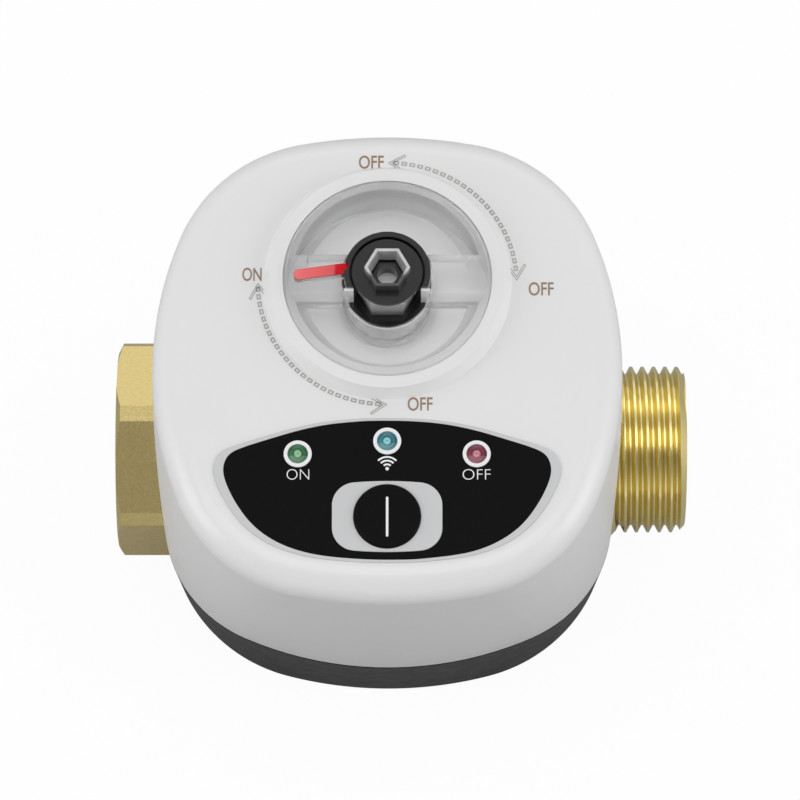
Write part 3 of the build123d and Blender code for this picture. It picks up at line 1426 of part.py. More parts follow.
def lamp_profile():
    top = TOP_Z + LAMP_PROUD
    with BuildSketch(Plane.XZ) as face:
        with BuildLine():
            Polyline(
                (0, top),
                (0, LAMP_FOOT_Z),
                (LAMP_FOOT_R, LAMP_FOOT_Z),
                (LAMP_FOOT_R, LAMP_FOOT_Z + LAMP_FOOT_T),
                (LAMP_R, LAMP_FOOT_Z + LAMP_FOOT_T),
                (LAMP_R, top - LAMP_PROUD / 2),
            )
            RadiusArc(
                (LAMP_R, top - LAMP_PROUD / 2), (0, top), -(LAMP_R**2 / LAMP_PROUD + LAMP_PROUD / 4)
            )
        make_face()
    return face.sketch


for lamp_name, (lamp_x, lamp_y) in LAMP_SPOTS.items():
    with BuildPart() as lamp:
        revolve(lamp_profile(), axis=Axis.Z)
    lens = Pos(lamp_x, lamp_y, 0) * lamp.part
    lens.label = lamp_name
    export_step(lens, f"parts/{lamp_name}.step")

with BuildPart() as led_chips:
    with BuildSketch(Plane.XY.offset(BOARD_Z + BOARD_T + SEAT_GAP)) as chips:
        with Locations(*LAMP_SPOTS.values()):
            Rectangle(CHIP_W, CHIP_W)
    extrude(amount=CHIP_T)
save(led_chips, "led_chips")

with BuildPart() as button_pad:
    extrude(pad_face(PANEL_FLOOR_Z + SEAT_GAP), amount=PANEL_POCKET - SEAT_GAP + PAD_PROUD)
    extrude(
        disc(PANEL_FLOOR_Z, BUTTON_R + SLIDE_GAP, 0, BUTTON_Y),
        amount=PANEL_POCKET + OVERRUN,
        mode=Mode.SUBTRACT,
    )
save(button_pad, "button_pad")

button_top = TOP_Z + BUTTON_PROUD
button_lip_z = TOP_Z - TOP_WALL - BUTTON_LIP_T - SEAT_GAP
switch_top = BOARD_Z + BOARD_T + SEAT_GAP + SWITCH_T
plunger_top = switch_top + PLUNGER_T
with BuildPart() as power_button:
    extrude(disc(button_lip_z, BUTTON_R, 0, BUTTON_Y), amount=button_top - button_lip_z)
    fillet(power_button.faces().sort_by(Axis.Z)[-1].edges(), BUTTON_EDGE_R)
    extrude(disc(button_lip_z, BUTTON_LIP_R, 0, BUTTON_Y), amount=BUTTON_LIP_T)
    extrude(disc(plunger_top + SEAT_GAP, BUTTON_STEM_R, 0, BUTTON_Y), amount=button_lip_z - plunger_top)
save(power_button, "power_button")

# push switch under the button; its plunger moves with the button
with BuildPart() as tact_switch:
    extrude(plate(BOARD_Z + BOARD_T + SEAT_GAP, SWITCH_W, SWITCH_W, 0, BUTTON_Y), amount=SWITCH_T)
    extrude(
        disc(switch_top - PLUNGER_T, PLUNGER_R + SLIDE_GAP, 0, BUTTON_Y),
        amount=PLUNGER_T,
        mode=Mode.SUBTRACT,
    )
save(tact_switch, "tact_switch")

with BuildPart() as switch_plunger:
    extrude(
        disc(switch_top - PLUNGER_T + BUTTON_TRAVEL + SEAT_GAP, PLUNGER_R, 0, BUTTON_Y),
        amount=2 * PLUNGER_T - BUTTON_TRAVEL - SEAT_GAP,
    )
save(switch_plunger, "switch_plunger")

# control board and what sits on it
with BuildPart() as control_board:
    board_mid = (BOARD_FRONT_Y + BOARD_BACK_Y) / 2
    board_d = BOARD_BACK_Y - BOARD_FRONT_Y
    with BuildSketch(Plane.XY.offset(BOARD_Z)) as board_outline:
        with Locations((0, board_mid)):
            RectangleRounded(2 * BOARD_HALF_W, board_d, BOARD_CORNER_R)
        Circle(BOARD_CLEAR_R, mode=Mode.SUBTRACT)
        with Locations(*BOARD_SPOTS):
            Circle(BOARD_SCREW_R + SLIDE_GAP, mode=Mode.SUBTRACT)
    extrude(amount=BOARD_T)
save(control_board, "control_board")

with BuildPart() as radio_module:
    extrude(plate(BOARD_Z + BOARD_T + SEAT_GAP, RADIO_W, RADIO_D, RADIO_X, RADIO_Y), amount=RADIO_T)
save(radio_module, "radio_module")

with BuildPart() as board_connector:
    extrude(
        plate(BOARD_Z - SEAT_GAP - CONNECTOR_T, CONNECTOR_W, CONNECTOR_D, CONNECTOR_X, CONNECTOR_Y),
        amount=CONNECTOR_T,
    )
save(board_connector, "board_connector")

with BuildPart() as capacitors:
    with BuildSketch(Plane.XY.offset(BOARD_Z + BOARD_T + SEAT_GAP)) as cans:
        with Locations(*zip(CAPACITOR_X, CAPACITOR_Y)):
            Circle(CAPACITOR_R)
    extrude(amount=CAPACITOR_H)
save(capacitors, "capacitors")


def screw(head_z, head_r, head_t, shank_r, tip_z):
    """One screw on the stem's axis: head beyond head_z, shank to tip_z, cross slot in the head."""
    up = 1 if tip_z > head_z else -1
    outer_z = head_z - up * head_t
    depth = head_t * DRIVE_DEPTH_SHARE
    slot_l = 2 * head_r * DRIVE_SLOT_SHARE
    slot_w = slot_l / 5
    with BuildPart() as one:
        extrude(disc(min(outer_z, head_z), head_r), amount=head_t)
        extrude(disc(min(head_z, tip_z), shank_r), amount=abs(tip_z - head_z))
        with BuildSketch(Plane.XY.offset(min(outer_z, outer_z + up * depth))) as cross:
            Rectangle(slot_l, slot_w)
            Rectangle(slot_w, slot_l)
        extrude(amount=depth, mode=Mode.SUBTRACT)
    return one.part


with BuildPart() as housing_screws:
    body_screw = screw(SCREW_HEAD_Z - SEAT_GAP, SCREW_HEAD_R, SCREW_HEAD_T, SCREW_R, SCREW_TOP_Z)
    for x, y in SCREW_SPOTS:
        add(Pos(x, y, 0) * body_screw)
save(housing_screws, "housing_screws")

with BuildPart() as plate_screws:
    low_screw = screw(
        PLATE_LOW_Z + PLATE_T + SEAT_GAP,
        PLATE_HEAD_R,
        PLATE_HEAD_T / 2,
        PLATE_SCREW_R,
        PLATE_LOW_Z - FLANGE_T / 2,
    )
    high_screw = screw(
        PLATE_HIGH_Z + PLATE_T + SEAT_GAP,
        PLATE_HEAD_R,
        PLATE_HEAD_T,
        PLATE_SCREW_R,
        PLATE_HIGH_Z - FLANGE_T,
    )
    bottom_screw = screw(
        PLATE_LOW_Z - SEAT_GAP,
        PLATE_HEAD_R,
        PLATE_HEAD_T,
        PLATE_SCREW_R,
        PLATE_LOW_Z + PLATE_T + FLANGE_T,
    )
    motor_spots = [(CENTRE_M[0] + s * MOTOR_SCREW_X, CENTRE_M[1]) for s in (-1, 1)]
    for x, y in PILLAR_SPOTS:
        add(Pos(x, y, 0) * low_screw)
    for x, y in SPACER_SPOTS:
        add(Pos(x, y, 0) * high_screw)
        add(Pos(x, y, 0) * bottom_screw)
    motor_screw = screw(
        PLATE_LOW_Z + PLATE_T + SEAT_GAP,
        PLATE_HEAD_R / 2 + AXLE_R / 2,
        PLATE_HEAD_T / 2 - SLIDE_GAP,
        PLATE_SCREW_R,
        PLATE_LOW_Z - PLATE_T + SLIDE_GAP,
    )
    for x, y in motor_spots:
        add(Pos(x, y, 0) * motor_screw)
save(plate_screws, "plate_screws")

with BuildPart() as board_screws:
    board_screw = screw(
        BOARD_Z - SEAT_GAP,
        BOARD_HEAD_R,
        BOARD_HEAD_T,
        BOARD_SCREW_R - SEAT_GAP,
        TOP_Z - TOP_WALL - OVERRUN,
    )
    for x, y in BOARD_SPOTS:
        add(Pos(x, y, 0) * board_screw)
save(board_screws, "board_screws")

# power inlet at the back
with BuildPart() as power_jack:
    jack_inner_y = JACK_PAD_Y - JACK_BODY_L
    extrude(back_disc(jack_inner_y, JACK_R, JACK_Z), amount=JACK_BODY_L)
    extrude(back_disc(JACK_PAD_Y + SEAT_GAP, JACK_LIP_R, JACK_Z), amount=JACK_LIP_T)
    extrude(back_disc(JACK_PAD_Y, JACK_R, JACK_Z), amount=JACK_LIP_T)
    extrude(
        back_disc(JACK_PAD_Y + SEAT_GAP + JACK_LIP_T - JACK_MOUTH_L, JACK_MOUTH_R, JACK_Z),
        amount=JACK_MOUTH_L + OVERRUN,
        mode=Mode.SUBTRACT,
    )
    extrude(back_disc(jack_inner_y, JACK_PIN_R, JACK_Z), amount=JACK_BODY_L - OVERRUN)
save(power_jack, "power_jack")

with BuildPart() as jack_nut:
    extrude(
        back_disc(JACK_WALL_FACE_Y - SEAT_GAP - JACK_NUT_T, JACK_NUT_R, JACK_Z, hole=JACK_R + SEAT_GAP),
        amount=JACK_NUT_T,
    )
save(jack_nut, "jack_nut")
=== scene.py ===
import bpy
import bmesh
from math import cos, hypot, radians, sin
from mathutils import Matrix, Vector


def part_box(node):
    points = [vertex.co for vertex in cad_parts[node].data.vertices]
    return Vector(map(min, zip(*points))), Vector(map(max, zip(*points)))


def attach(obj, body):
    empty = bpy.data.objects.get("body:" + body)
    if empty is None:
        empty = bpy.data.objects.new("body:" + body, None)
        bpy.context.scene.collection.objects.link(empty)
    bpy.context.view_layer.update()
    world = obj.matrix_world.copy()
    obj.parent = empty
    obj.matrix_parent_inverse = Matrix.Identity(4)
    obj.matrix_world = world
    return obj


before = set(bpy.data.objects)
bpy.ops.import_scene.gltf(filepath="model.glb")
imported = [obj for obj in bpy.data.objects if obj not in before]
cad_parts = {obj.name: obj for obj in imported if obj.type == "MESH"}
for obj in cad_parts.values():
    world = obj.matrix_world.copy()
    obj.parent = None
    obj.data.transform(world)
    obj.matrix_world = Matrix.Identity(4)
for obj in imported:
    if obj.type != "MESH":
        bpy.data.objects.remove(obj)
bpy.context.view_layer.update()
scene = bpy.context.scene
MM = 0.001

# heights of the CAD part, in millimetres
TOP_Z = 93.8
PANEL_TOP_Z = 93.9
BUTTON_TOP_Z = 94.5
KNOB_TOP_Z = 95.9
POCKET_DEEP = 4.0

# camera of the photograph: long lens, 70 degrees above the horizon
CAMERA_PLACE = (1.87452, -319.86975, 921.91277)
CAMERA_TILT = 20

camera_data = bpy.data.cameras.new("camera")
camera_data.lens = 270
camera_data.sensor_width = 36
camera_data.clip_end = 20
camera = bpy.data.objects.new("camera", camera_data)
camera.location = [v * MM for v in CAMERA_PLACE]
camera.rotation_euler = (radians(CAMERA_TILT), 0, 0)
scene.collection.objects.link(camera)
scene.camera = camera


# shader helpers: each adds nodes to a tree, and all but bump return an output for the next
def grey(level):
    """A colour without hue."""
    return (level, level, level)


def calc(tree, operation, *values):
    """A Math node on numbers or outputs."""
    node = tree.nodes.new("ShaderNodeMath")
    node.operation = operation
    for place, value in enumerate(values):
        if isinstance(value, (int, float)):
            node.inputs[place].default_value = value
        else:
            tree.links.new(value, node.inputs[place])
    return node.outputs[0]


def axes(tree, output):
    """A texture coordinate, such as Object or Normal, as one output for each axis."""
    coord = tree.nodes.new("ShaderNodeTexCoord")
    split = tree.nodes.new("ShaderNodeSeparateXYZ")
    tree.links.new(coord.outputs[output], split.inputs[0])
    return split.outputs


def radius(tree, x, y):
    """Distance of (x, y) from the origin."""
    squares = calc(tree, "MULTIPLY", x, x), calc(tree, "MULTIPLY", y, y)
    return calc(tree, "SQRT", calc(tree, "ADD", *squares))


def noise(tree, scale, detail=4.0, rough=0.5, stretch=(1, 1, 1)):
    """Noise that is fixed to the object, with its scale in cells to a metre."""
    coord = tree.nodes.new("ShaderNodeTexCoord")
    mapping = tree.nodes.new("ShaderNodeMapping")
    mapping.inputs["Scale"].default_value = stretch
    tex = tree.nodes.new("ShaderNodeTexNoise")
    tex.inputs["Scale"].default_value = scale
    tex.inputs["Detail"].default_value = detail
    tex.inputs["Roughness"].default_value = rough
    tree.links.new(coord.outputs["Object"], mapping.inputs["Vector"])
    tree.links.new(mapping.outputs["Vector"], tex.inputs["Vector"])
    return tex.outputs["Fac"]


def ramp(tree, fac, *marks):
    """A colour ramp through (place, colour) marks."""
    node = tree.nodes.new("ShaderNodeValToRGB")
    points = node.color_ramp.elements
    while len(points) < len(marks):
        points.new(1.0)
    for point, (place, color) in zip(points, marks):
        point.position = place
        point.color = (*color, 1)
    tree.links.new(fac, node.inputs["Fac"])
    return node.outputs["Color"]


def spread(tree, fac, low, high):
    """Maps 0 to 1 onto low to high."""
    node = tree.nodes.new("ShaderNodeMapRange")
    node.inputs["To Min"].default_value = low
    node.inputs["To Max"].default_value = high
    tree.links.new(fac, node.inputs["Value"])
    return node.outputs["Result"]


def blend(tree, share, first, second):
    """From the first colour at 0 to the second at 1; each is a plain colour or an output."""
    node = tree.nodes.new("ShaderNodeMix")
    node.data_type = "RGBA"
    tree.links.new(share, node.inputs["Factor"])
    for key, color in (("A", first), ("B", second)):
        if isinstance(color, tuple):
            node.inputs[key].default_value = (*color, 1)
        else:
            tree.links.new(color, node.inputs[key])
    return node.outputs["Result"]


def bump(tree, shader, fac, strength, distance):
    """Gives a shader a relief, with its depth in metres."""
    node = tree.nodes.new("ShaderNodeBump")
    node.inputs["Strength"].default_value = strength
    node.inputs["Distance"].default_value = distance
    tree.links.new(fac, node.inputs["Height"])
    tree.links.new(node.outputs["Normal"], shader.inputs["Normal"])


# kinds of material
GRAIN_DEPTH = 0.00002
CLOUD_SCALE = 90
GLOSS_SCALE = 420


def material(name, color, rough, metal=0.0, **inputs):
    """A principled material; returns it with its node tree and shader."""
    mat = bpy.data.materials.new(name)
    mat.use_nodes = True
    shader = mat.node_tree.nodes["Principled BSDF"]
    shader.inputs["Base Color"].default_value = (*color, 1)
    shader.inputs["Roughness"].default_value = rough
    shader.inputs["Metallic"].default_value = metal
    for key, value in inputs.items():
        shader.inputs[key.replace("_", " ")].default_value = value
    return mat, mat.node_tree, shader


def plastic(name, color, rough, grain=2600, vary=0.06, coat=0.0, strength=0.25, level=0.5):
    """Moulded plastic: fine grain, faint cloud in the colour, uneven gloss."""
    mat, tree, shader = material(
        name, color, rough, Coat_Weight=coat, Coat_Roughness=0.12, Specular_IOR_Level=level
    )
    dim = tuple(c * (1 - vary) for c in color)
    cloud = ramp(tree, noise(tree, CLOUD_SCALE, 3), (0.3, dim), (0.7, color))
    gloss = spread(tree, noise(tree, GLOSS_SCALE, 5), rough * 0.85, rough * 1.2)
    tree.links.new(cloud, shader.inputs["Base Color"])
    tree.links.new(gloss, shader.inputs["Roughness"])
    bump(tree, shader, noise(tree, grain, 2), strength, GRAIN_DEPTH)
    return mat


def metal(name, light, dark, rough, grain=900, stretch=(1, 1, 1), strength=0.3, share=1.0):
    """Cut or drawn metal: streaks in the colour, the gloss and the surface.

    A share below 1 leaves the rest non-metallic, so that the piece shows its colour in any room.
    """
    mat, tree, shader = material(name, light, rough, share)
    streak = noise(tree, grain, 6, 0.6, stretch)
    streaked = ramp(tree, streak, (0.25, dark), (0.75, light))
    tree.links.new(streaked, shader.inputs["Base Color"])
    tree.links.new(spread(tree, streak, rough * 0.8, rough * 1.35), shader.inputs["Roughness"])
    bump(tree, shader, streak, strength, GRAIN_DEPTH)
    return mat


white_shell = plastic("white_shell", grey(0.80), 0.32, vary=0.012, coat=0.1, strength=0.1)
dark_base = plastic(
    "dark_base", (0.019, 0.020, 0.021), 0.45, grain=3200, strength=0.4, level=0.2
)
black_gloss = plastic(
    "black_panel", (0.006, 0.006, 0.0063), 0.3, grain=2400, strength=0.06, level=0.04
)
black_hub = plastic("black_hub", (0.008, 0.008, 0.009), 0.2, grain=1500, strength=0.05, coat=0.3)
black_soft = plastic("black_plastic", (0.014, 0.014, 0.016), 0.38, strength=0.2)
grey_print = plastic("grey_plastic", (0.60, 0.605, 0.61), 0.4, strength=0.1, vary=0.02)
white_print = plastic("white_print", (0.86, 0.87, 0.88), 0.45, strength=0.1, vary=0.02)
brown_print = plastic("brown_print", (0.33, 0.22, 0.145), 0.5, strength=0.1, vary=0.25)
stone_print = plastic("stone_print", (0.46, 0.44, 0.41), 0.5, strength=0.1, vary=0.2)
pale_seal = plastic("pale_seal", (0.93, 0.93, 0.92), 0.5, strength=0.2)
rubber = plastic("black_rubber", grey(0.02), 0.7, grain=1800, strength=0.4)
polymer = plastic("white_polymer", (0.78, 0.77, 0.73), 0.4, vary=0.04)
board_green = plastic("green_board", (0.02, 0.16, 0.07), 0.35, vary=0.25)
lamp_chip = plastic("lamp_chip", (0.82, 0.8, 0.66), 0.3, vary=0.1)
brass_hex = metal("brass_hex", (0.82, 0.68, 0.31), (0.70, 0.545, 0.21), 0.24, 2200, strength=0.35)
brass_thread = metal(
    "brass_thread", (0.85, 0.745, 0.39), (0.77, 0.65, 0.29), 0.22, 160, (14, 1, 1), strength=0.12
)
steel = metal("steel", (0.62, 0.62, 0.63), (0.46, 0.46, 0.47), 0.3, 300, (1, 1, 6))
bright = metal("bright_metal", (0.80, 0.80, 0.81), (0.66, 0.66, 0.67), 0.14, 700, strength=0.1)
nut_metal = metal(
    "nut_metal", (0.88, 0.88, 0.89), (0.76, 0.76, 0.77), 0.36, strength=0.1, share=0.35
)
tab_metal = metal(
    "tab_metal", (0.93, 0.93, 0.94), (0.80, 0.80, 0.81), 0.34, 700, strength=0.1, share=0.15
)
socket_metal = metal(
    "socket_metal", (0.72, 0.72, 0.73), (0.58, 0.58, 0.59), 0.2, strength=0.1, share=0.45
)
chrome = metal("ball_chrome", (0.80, 0.80, 0.82), (0.72, 0.72, 0.74), 0.08, 200, strength=0.05)
aluminium = metal("can_aluminium", (0.72, 0.72, 0.74), (0.60, 0.60, 0.62), 0.3, 300, (1, 1, 8))


# materials whose colour changes over their piece, fixed to the piece and not to the view
def clear_plastic():
    """Clear moulding with painted shade on its upright walls, darker towards the top, and a paler
    edge at the rim.
    """
    mat, tree, shader = material(
        "clear_plastic", grey(0.99), 0.05, IOR=1.47, Transmission_Weight=1.0, Alpha=0.6
    )
    tree.links.new(spread(tree, noise(tree, 300, 4), 0.02, 0.08), shader.inputs["Roughness"])
    bump(tree, shader, noise(tree, 160, 3), 0.04, 0.0001)
    floor_z = (KNOB_TOP_Z - POCKET_DEEP) * MM
    above = calc(tree, "SUBTRACT", axes(tree, "Object")[2], floor_z)
    rise = calc(tree, "DIVIDE", above, POCKET_DEEP * MM)
    # painted shade on the upright walls, darkest just under the rim and less at the rim itself
    painted_wall_shade = ramp(
        tree, rise,
        (0.0, grey(0.98)), (0.45, grey(0.80)), (0.7, grey(0.36)), (0.92, grey(0.36)),
        (1.0, grey(0.9)),
    )
    upright = calc(tree, "LESS_THAN", calc(tree, "ABSOLUTE", axes(tree, "Normal")[2]), 0.8)
    tree.links.new(blend(tree, upright, grey(0.99), painted_wall_shade), shader.inputs["Base Color"])
    return mat


LENS_RAGGED = 0.12
LENS_PAINTED_HIGHLIGHT = 0.35
LENS_GLOW = 0.06


def lens(name, node, dark, mid, light):
    """A moulded lamp lens: rings round a pale one, whose pale ring and dark middle are a painted
    highlight and reflection, a dark rim, and a painted highlight that lights the side front left.
    """
    low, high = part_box(node)
    mat, tree, shader = material(
        name, mid, 0.1, IOR=1.5, Coat_Weight=0.25, Coat_Roughness=0.05
    )
    x, y = axes(tree, "Object")[:2]
    half = (high[0] - low[0]) / 2
    dx = calc(tree, "SUBTRACT", x, (low[0] + high[0]) / 2)
    dy = calc(tree, "SUBTRACT", y, (low[1] + high[1]) / 2)
    far = calc(tree, "DIVIDE", radius(tree, dx, dy), half)
    uneven = calc(tree, "SUBTRACT", noise(tree, 1500, 3), 0.5)
    ragged = calc(tree, "ADD", far, calc(tree, "MULTIPLY", uneven, LENS_RAGGED))
    # the pale ring and dark spot at the middle are a painted highlight and reflection; the rings
    # further out are moulded
    centre_highlight = tuple(0.5 * c + 0.25 for c in light)
    rings = ramp(
        tree, ragged,
        (0.0, dark), (0.10, centre_highlight), (0.20, light), (0.30, dark), (0.44, mid), (0.56, dark),
        (0.66, mid), (0.76, dark), (0.86, mid), (0.96, dark),
    )
    # painted highlight on the front left side of the dome, strongest at its edge
    away = calc(tree, "ADD", calc(tree, "MULTIPLY", dx, 0.55), calc(tree, "MULTIPLY", dy, 0.83))
    nearer = calc(tree, "MAXIMUM", calc(tree, "DIVIDE", away, -half), 0.0)
    painted_highlight = calc(tree, "MULTIPLY", nearer, LENS_PAINTED_HIGHLIGHT)
    tree.links.new(blend(tree, painted_highlight, rings, light), shader.inputs["Base Color"])
    shader.inputs["Emission Color"].default_value = (*mid, 1)
    shader.inputs["Emission Strength"].default_value = LENS_GLOW
    return mat


# from the outer end, 16 mm out, the pointer's stops span 1/90 of a metre
POINTER_END = 0.016
POINTER_STOPS = 90.0
POINTER_SIDE_SHADE = (0.16, 0.01, 0.012)


def pointer_red():
    """Red pointer: paler where the clear grip covers it, a painted sheen of the grip; full red
    near the hub; dark sides, painted shade.
    """
    mat, tree, shader = material(
        "red_plastic", (0.68, 0.012, 0.018), 0.35, Specular_IOR_Level=0.2
    )
    inward = calc(tree, "ADD", axes(tree, "Object")[0], POINTER_END)
    along = calc(tree, "MULTIPLY", inward, POINTER_STOPS)
    uneven = calc(tree, "MULTIPLY", noise(tree, 900, 3), 0.03)
    # the paler outer part is a painted sheen of the clear grip over it
    top_with_painted_sheen = ramp(
        tree, calc(tree, "ADD", along, uneven),
        (0.0, (0.90, 0.26, 0.27)), (0.35, (0.84, 0.16, 0.165)), (0.745, (0.80, 0.12, 0.125)),
        (0.775, (0.70, 0.006, 0.012)),
    )
    # painted shade on the sides
    upward = calc(tree, "GREATER_THAN", axes(tree, "Normal")[2], 0.6)
    tree.links.new(blend(tree, upward, POINTER_SIDE_SHADE, top_with_painted_sheen), shader.inputs["Base Color"])
    bump(tree, shader, noise(tree, 1200, 2), 0.08, GRAIN_DEPTH)
    return mat


def color_link(mat):
    """A material's Base Color input and the output that feeds it."""
    target = mat.node_tree.nodes["Principled BSDF"].inputs["Base Color"]
    return target, target.links[0].from_socket


# painted shade: the socket keeps its colour above the higher height and is dark below the lower
# one
SOCKET_LOW_Z = 97.8
SOCKET_HIGH_Z = 99.9
SOCKET_SHADE = (0.035, 0.035, 0.037)
# its front half fades into painted shade, a dark reflection, over 1/900 of a metre, from 1.5 mm in
# front of the axis
SOCKET_FRONT = 0.0015
SOCKET_FADE = 900
SOCKET_LEAST = 0.1


def shade_socket(mat):
    """Paints shade on the socket low in its bore and, as a dark reflection, on its front half, but
    not on its bore's back wall.
    """
    tree = mat.node_tree
    target, color = color_link(mat)
    _, y, z = axes(tree, "Object")
    low = SOCKET_LOW_Z * MM
    above = calc(tree, "SUBTRACT", z, low)
    height = calc(tree, "DIVIDE", above, (SOCKET_HIGH_Z - SOCKET_LOW_Z) * MM)
    faces_front = calc(tree, "LESS_THAN", axes(tree, "Normal")[1], -0.4)
    back_wall = calc(tree, "MULTIPLY", faces_front, calc(tree, "GREATER_THAN", y, 0.0))
    upper_wall = calc(tree, "MULTIPLY", back_wall, calc(tree, "GREATER_THAN", z, low))
    lit = calc(tree, "MAXIMUM", height, upper_wall)
    fade = calc(tree, "MULTIPLY", calc(tree, "ADD", y, SOCKET_FRONT), SOCKET_FADE)
    half = calc(tree, "MINIMUM", calc(tree, "MAXIMUM", fade, SOCKET_LEAST), 1.0)
    share = calc(tree, "MULTIPLY", lit, half)
    tree.links.new(blend(tree, share, SOCKET_SHADE, color), target)


WELL_R = 15.6
WELL_TOP_Z = 95.6


def paint_light_in_well(mat):
    """Paints light into the shell's colour inside the knob's well, against the shade there."""
    tree = mat.node_tree
    target, color = color_link(mat)
    x, y, z = axes(tree, "Object")
    near = calc(tree, "LESS_THAN", radius(tree, x, y), WELL_R * MM)
    inside = calc(tree, "MULTIPLY", near, calc(tree, "LESS_THAN", z, WELL_TOP_Z * MM))
    tree.links.new(blend(tree, inside, color, grey(0.97)), target)


shade_socket(socket_metal)
paint_light_in_well(white_shell)
clear = clear_plastic()
red = pointer_red()
green_lens = lens(
    "green_lens", "led_on", (0.004, 0.04, 0.012), (0.016, 0.15, 0.045), (0.20, 0.52, 0.23)
)
blue_lens = lens(
    "blue_lens", "led_signal", (0.004, 0.05, 0.07), (0.022, 0.21, 0.25), (0.20, 0.62, 0.66)
)
red_lens = lens(
    "red_lens", "led_off", (0.05, 0.003, 0.012), (0.21, 0.010, 0.040), (0.62, 0.16, 0.22)
)

# the look of each node; the rest are steel
LOOKS = {
    "top_cover": white_shell,
    "base_housing": dark_base,
    "valve_body": brass_thread,
    "end_connector": brass_hex,
    "gland_nut": brass_hex,
    "motor_pinion": brass_thread,
    "ball": chrome,
    "shaft_seal": pale_seal,
    "hex_socket": socket_metal,
    "hub_nut": nut_metal,
    "hub_ring": bright,
    "hub_tabs": tab_metal,
    "drive_hub": black_hub,
    "hub_cap": black_hub,
    "manual_knob": clear,
    "pointer_bar": red,
    "panel_overlay": black_gloss,
    "panel_border": grey_print,
    "button_pad": grey_print,
    "power_button": black_gloss,
    "led_rings": white_print,
    "led_on": green_lens,
    "led_signal": blue_lens,
    "led_off": red_lens,
    "led_chips": lamp_chip,
    "control_board": board_green,
    "capacitors": aluminium,
}
for look, names in (
    (polymer, (
        "seat_rings", "thrust_washer", "packing_rings", "idler_gear_1", "idler_gear_2",
        "output_gear", "shaft_bushings",
    )),
    (rubber, ("stem_orings", "parting_gasket", "pipe_seals")),
    (black_soft, (
        "clutch_ring", "tact_switch", "switch_plunger", "power_jack", "limit_sensors",
        "board_connector",
    )),
):
    LOOKS.update(dict.fromkeys(names, look))
for name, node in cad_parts.items():
    look = LOOKS.get(name, steel)
    if not node.material_slots:
        node.data.materials.append(look)
    for place in node.material_slots:
        place.material = look

# printed marks, in millimetres: flat pieces a hair above the face that carries them
PRINT_T = 0.03
FACE_Z = TOP_Z + 0.005
PANEL_Z = PANEL_TOP_Z + 0.005
BUTTON_Z = BUTTON_TOP_Z + 0.003


def bake(name, bm):
    """Turns a bmesh into a mesh and frees it."""
    mesh = bpy.data.meshes.new(name)
    bm.to_mesh(mesh)
    bm.free()
    return mesh


def add_piece(name, mesh, look, body):
    """Adds a mesh as a piece that rides on a body."""
    mesh.materials.append(look)
    piece = bpy.data.objects.new(name, mesh)
    scene.collection.objects.link(piece)
    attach(piece, body)


def prism(bm, outline, z, holes=()):
    """A prism of the print's thickness over a closed outline, with holes."""
    edges = []
    for loop in (outline, *holes):
        ring = [bm.verts.new((x * MM, y * MM, z * MM)) for x, y in loop]
        edges += [bm.edges.new(pair) for pair in zip(ring, ring[1:] + ring[:1])]
    made = bmesh.ops.triangle_fill(bm, edges=edges, use_beauty=True)
    faces = [g for g in made["geom"] if isinstance(g, bmesh.types.BMFace)]
    for f in faces:
        if f.normal.z < 0:
            f.normal_flip()
    grown = bmesh.ops.extrude_face_region(bm, geom=faces)
    raised = [g for g in grown["geom"] if isinstance(g, bmesh.types.BMVert)]
    bmesh.ops.translate(bm, verts=raised, vec=(0, 0, PRINT_T * MM))


def placed(points, x, y, turn):
    """Points turned about the origin and then moved to a place."""
    c, s = cos(turn), sin(turn)
    return [(x + c * px - s * py, y + s * px + c * py) for px, py in points]


def rectangle(w, d):
    """Corners of a rectangle round the origin."""
    return [(-w / 2, -d / 2), (w / 2, -d / 2), (w / 2, d / 2), (-w / 2, d / 2)]


def arc(x, y, r, first, last, steps):
    """Points on a circle from the first angle to the last, in degrees."""
    angles = [radians(first + (last - first) * k / steps) for k in range(steps + 1)]
    return [(x + r * cos(a), y + r * sin(a)) for a in angles]


# height of a capital letter as a share of the font's size
CAPITAL = 0.7


def word(name, text, x, y, z, width, height, look, bold):
    """Flat lettering on the housing, centred on a place and fitted to a width and a height.

    Its outlines move out by bold, a share of the height, or in where that is negative.
    """
    curve = bpy.data.curves.new(name, "FONT")
    curve.body = text
    curve.size = height / CAPITAL * MM
    curve.extrude = PRINT_T / 2 * MM
    curve.offset = bold * height * MM
    holder = bpy.data.objects.new(name + "_curve", curve)
    scene.collection.objects.link(holder)
    bpy.context.view_layer.update()
    solid = holder.evaluated_get(bpy.context.evaluated_depsgraph_get())
    mesh = bpy.data.meshes.new_from_object(solid)
    bpy.data.objects.remove(holder)
    xs = [v.co.x for v in mesh.vertices]
    ys = [v.co.y for v in mesh.vertices]
    fit_x = width * MM / (max(xs) - min(xs))
    fit_y = height * MM / (max(ys) - min(ys))
    mesh.transform(
        Matrix.Translation((x * MM, y * MM, (z + PRINT_T / 2) * MM))
        @ Matrix.Diagonal((fit_x, fit_y, 1, 1))
        @ Matrix.Translation((-(max(xs) + min(xs)) / 2, -(max(ys) + min(ys)) / 2, 0))
    )
    mesh.materials.clear()
    add_piece(name, mesh, look, "housing")


# words on the white face
FACE_WORD_H = 2.12

for name, text, x, y, width in (
    ("mark_off_back", "OFF", -2.4, 19.25, 3.7),
    ("mark_off_right", "OFF", 22.75, -0.98, 3.7),
    ("mark_off_front", "OFF", 4.84, -19.09, 3.65),
    ("mark_on_left", "ON", -20.03, 1.32, 2.85),
):
    word(name, text, x, y, FACE_Z, width, FACE_WORD_H, brown_print, 0.012)

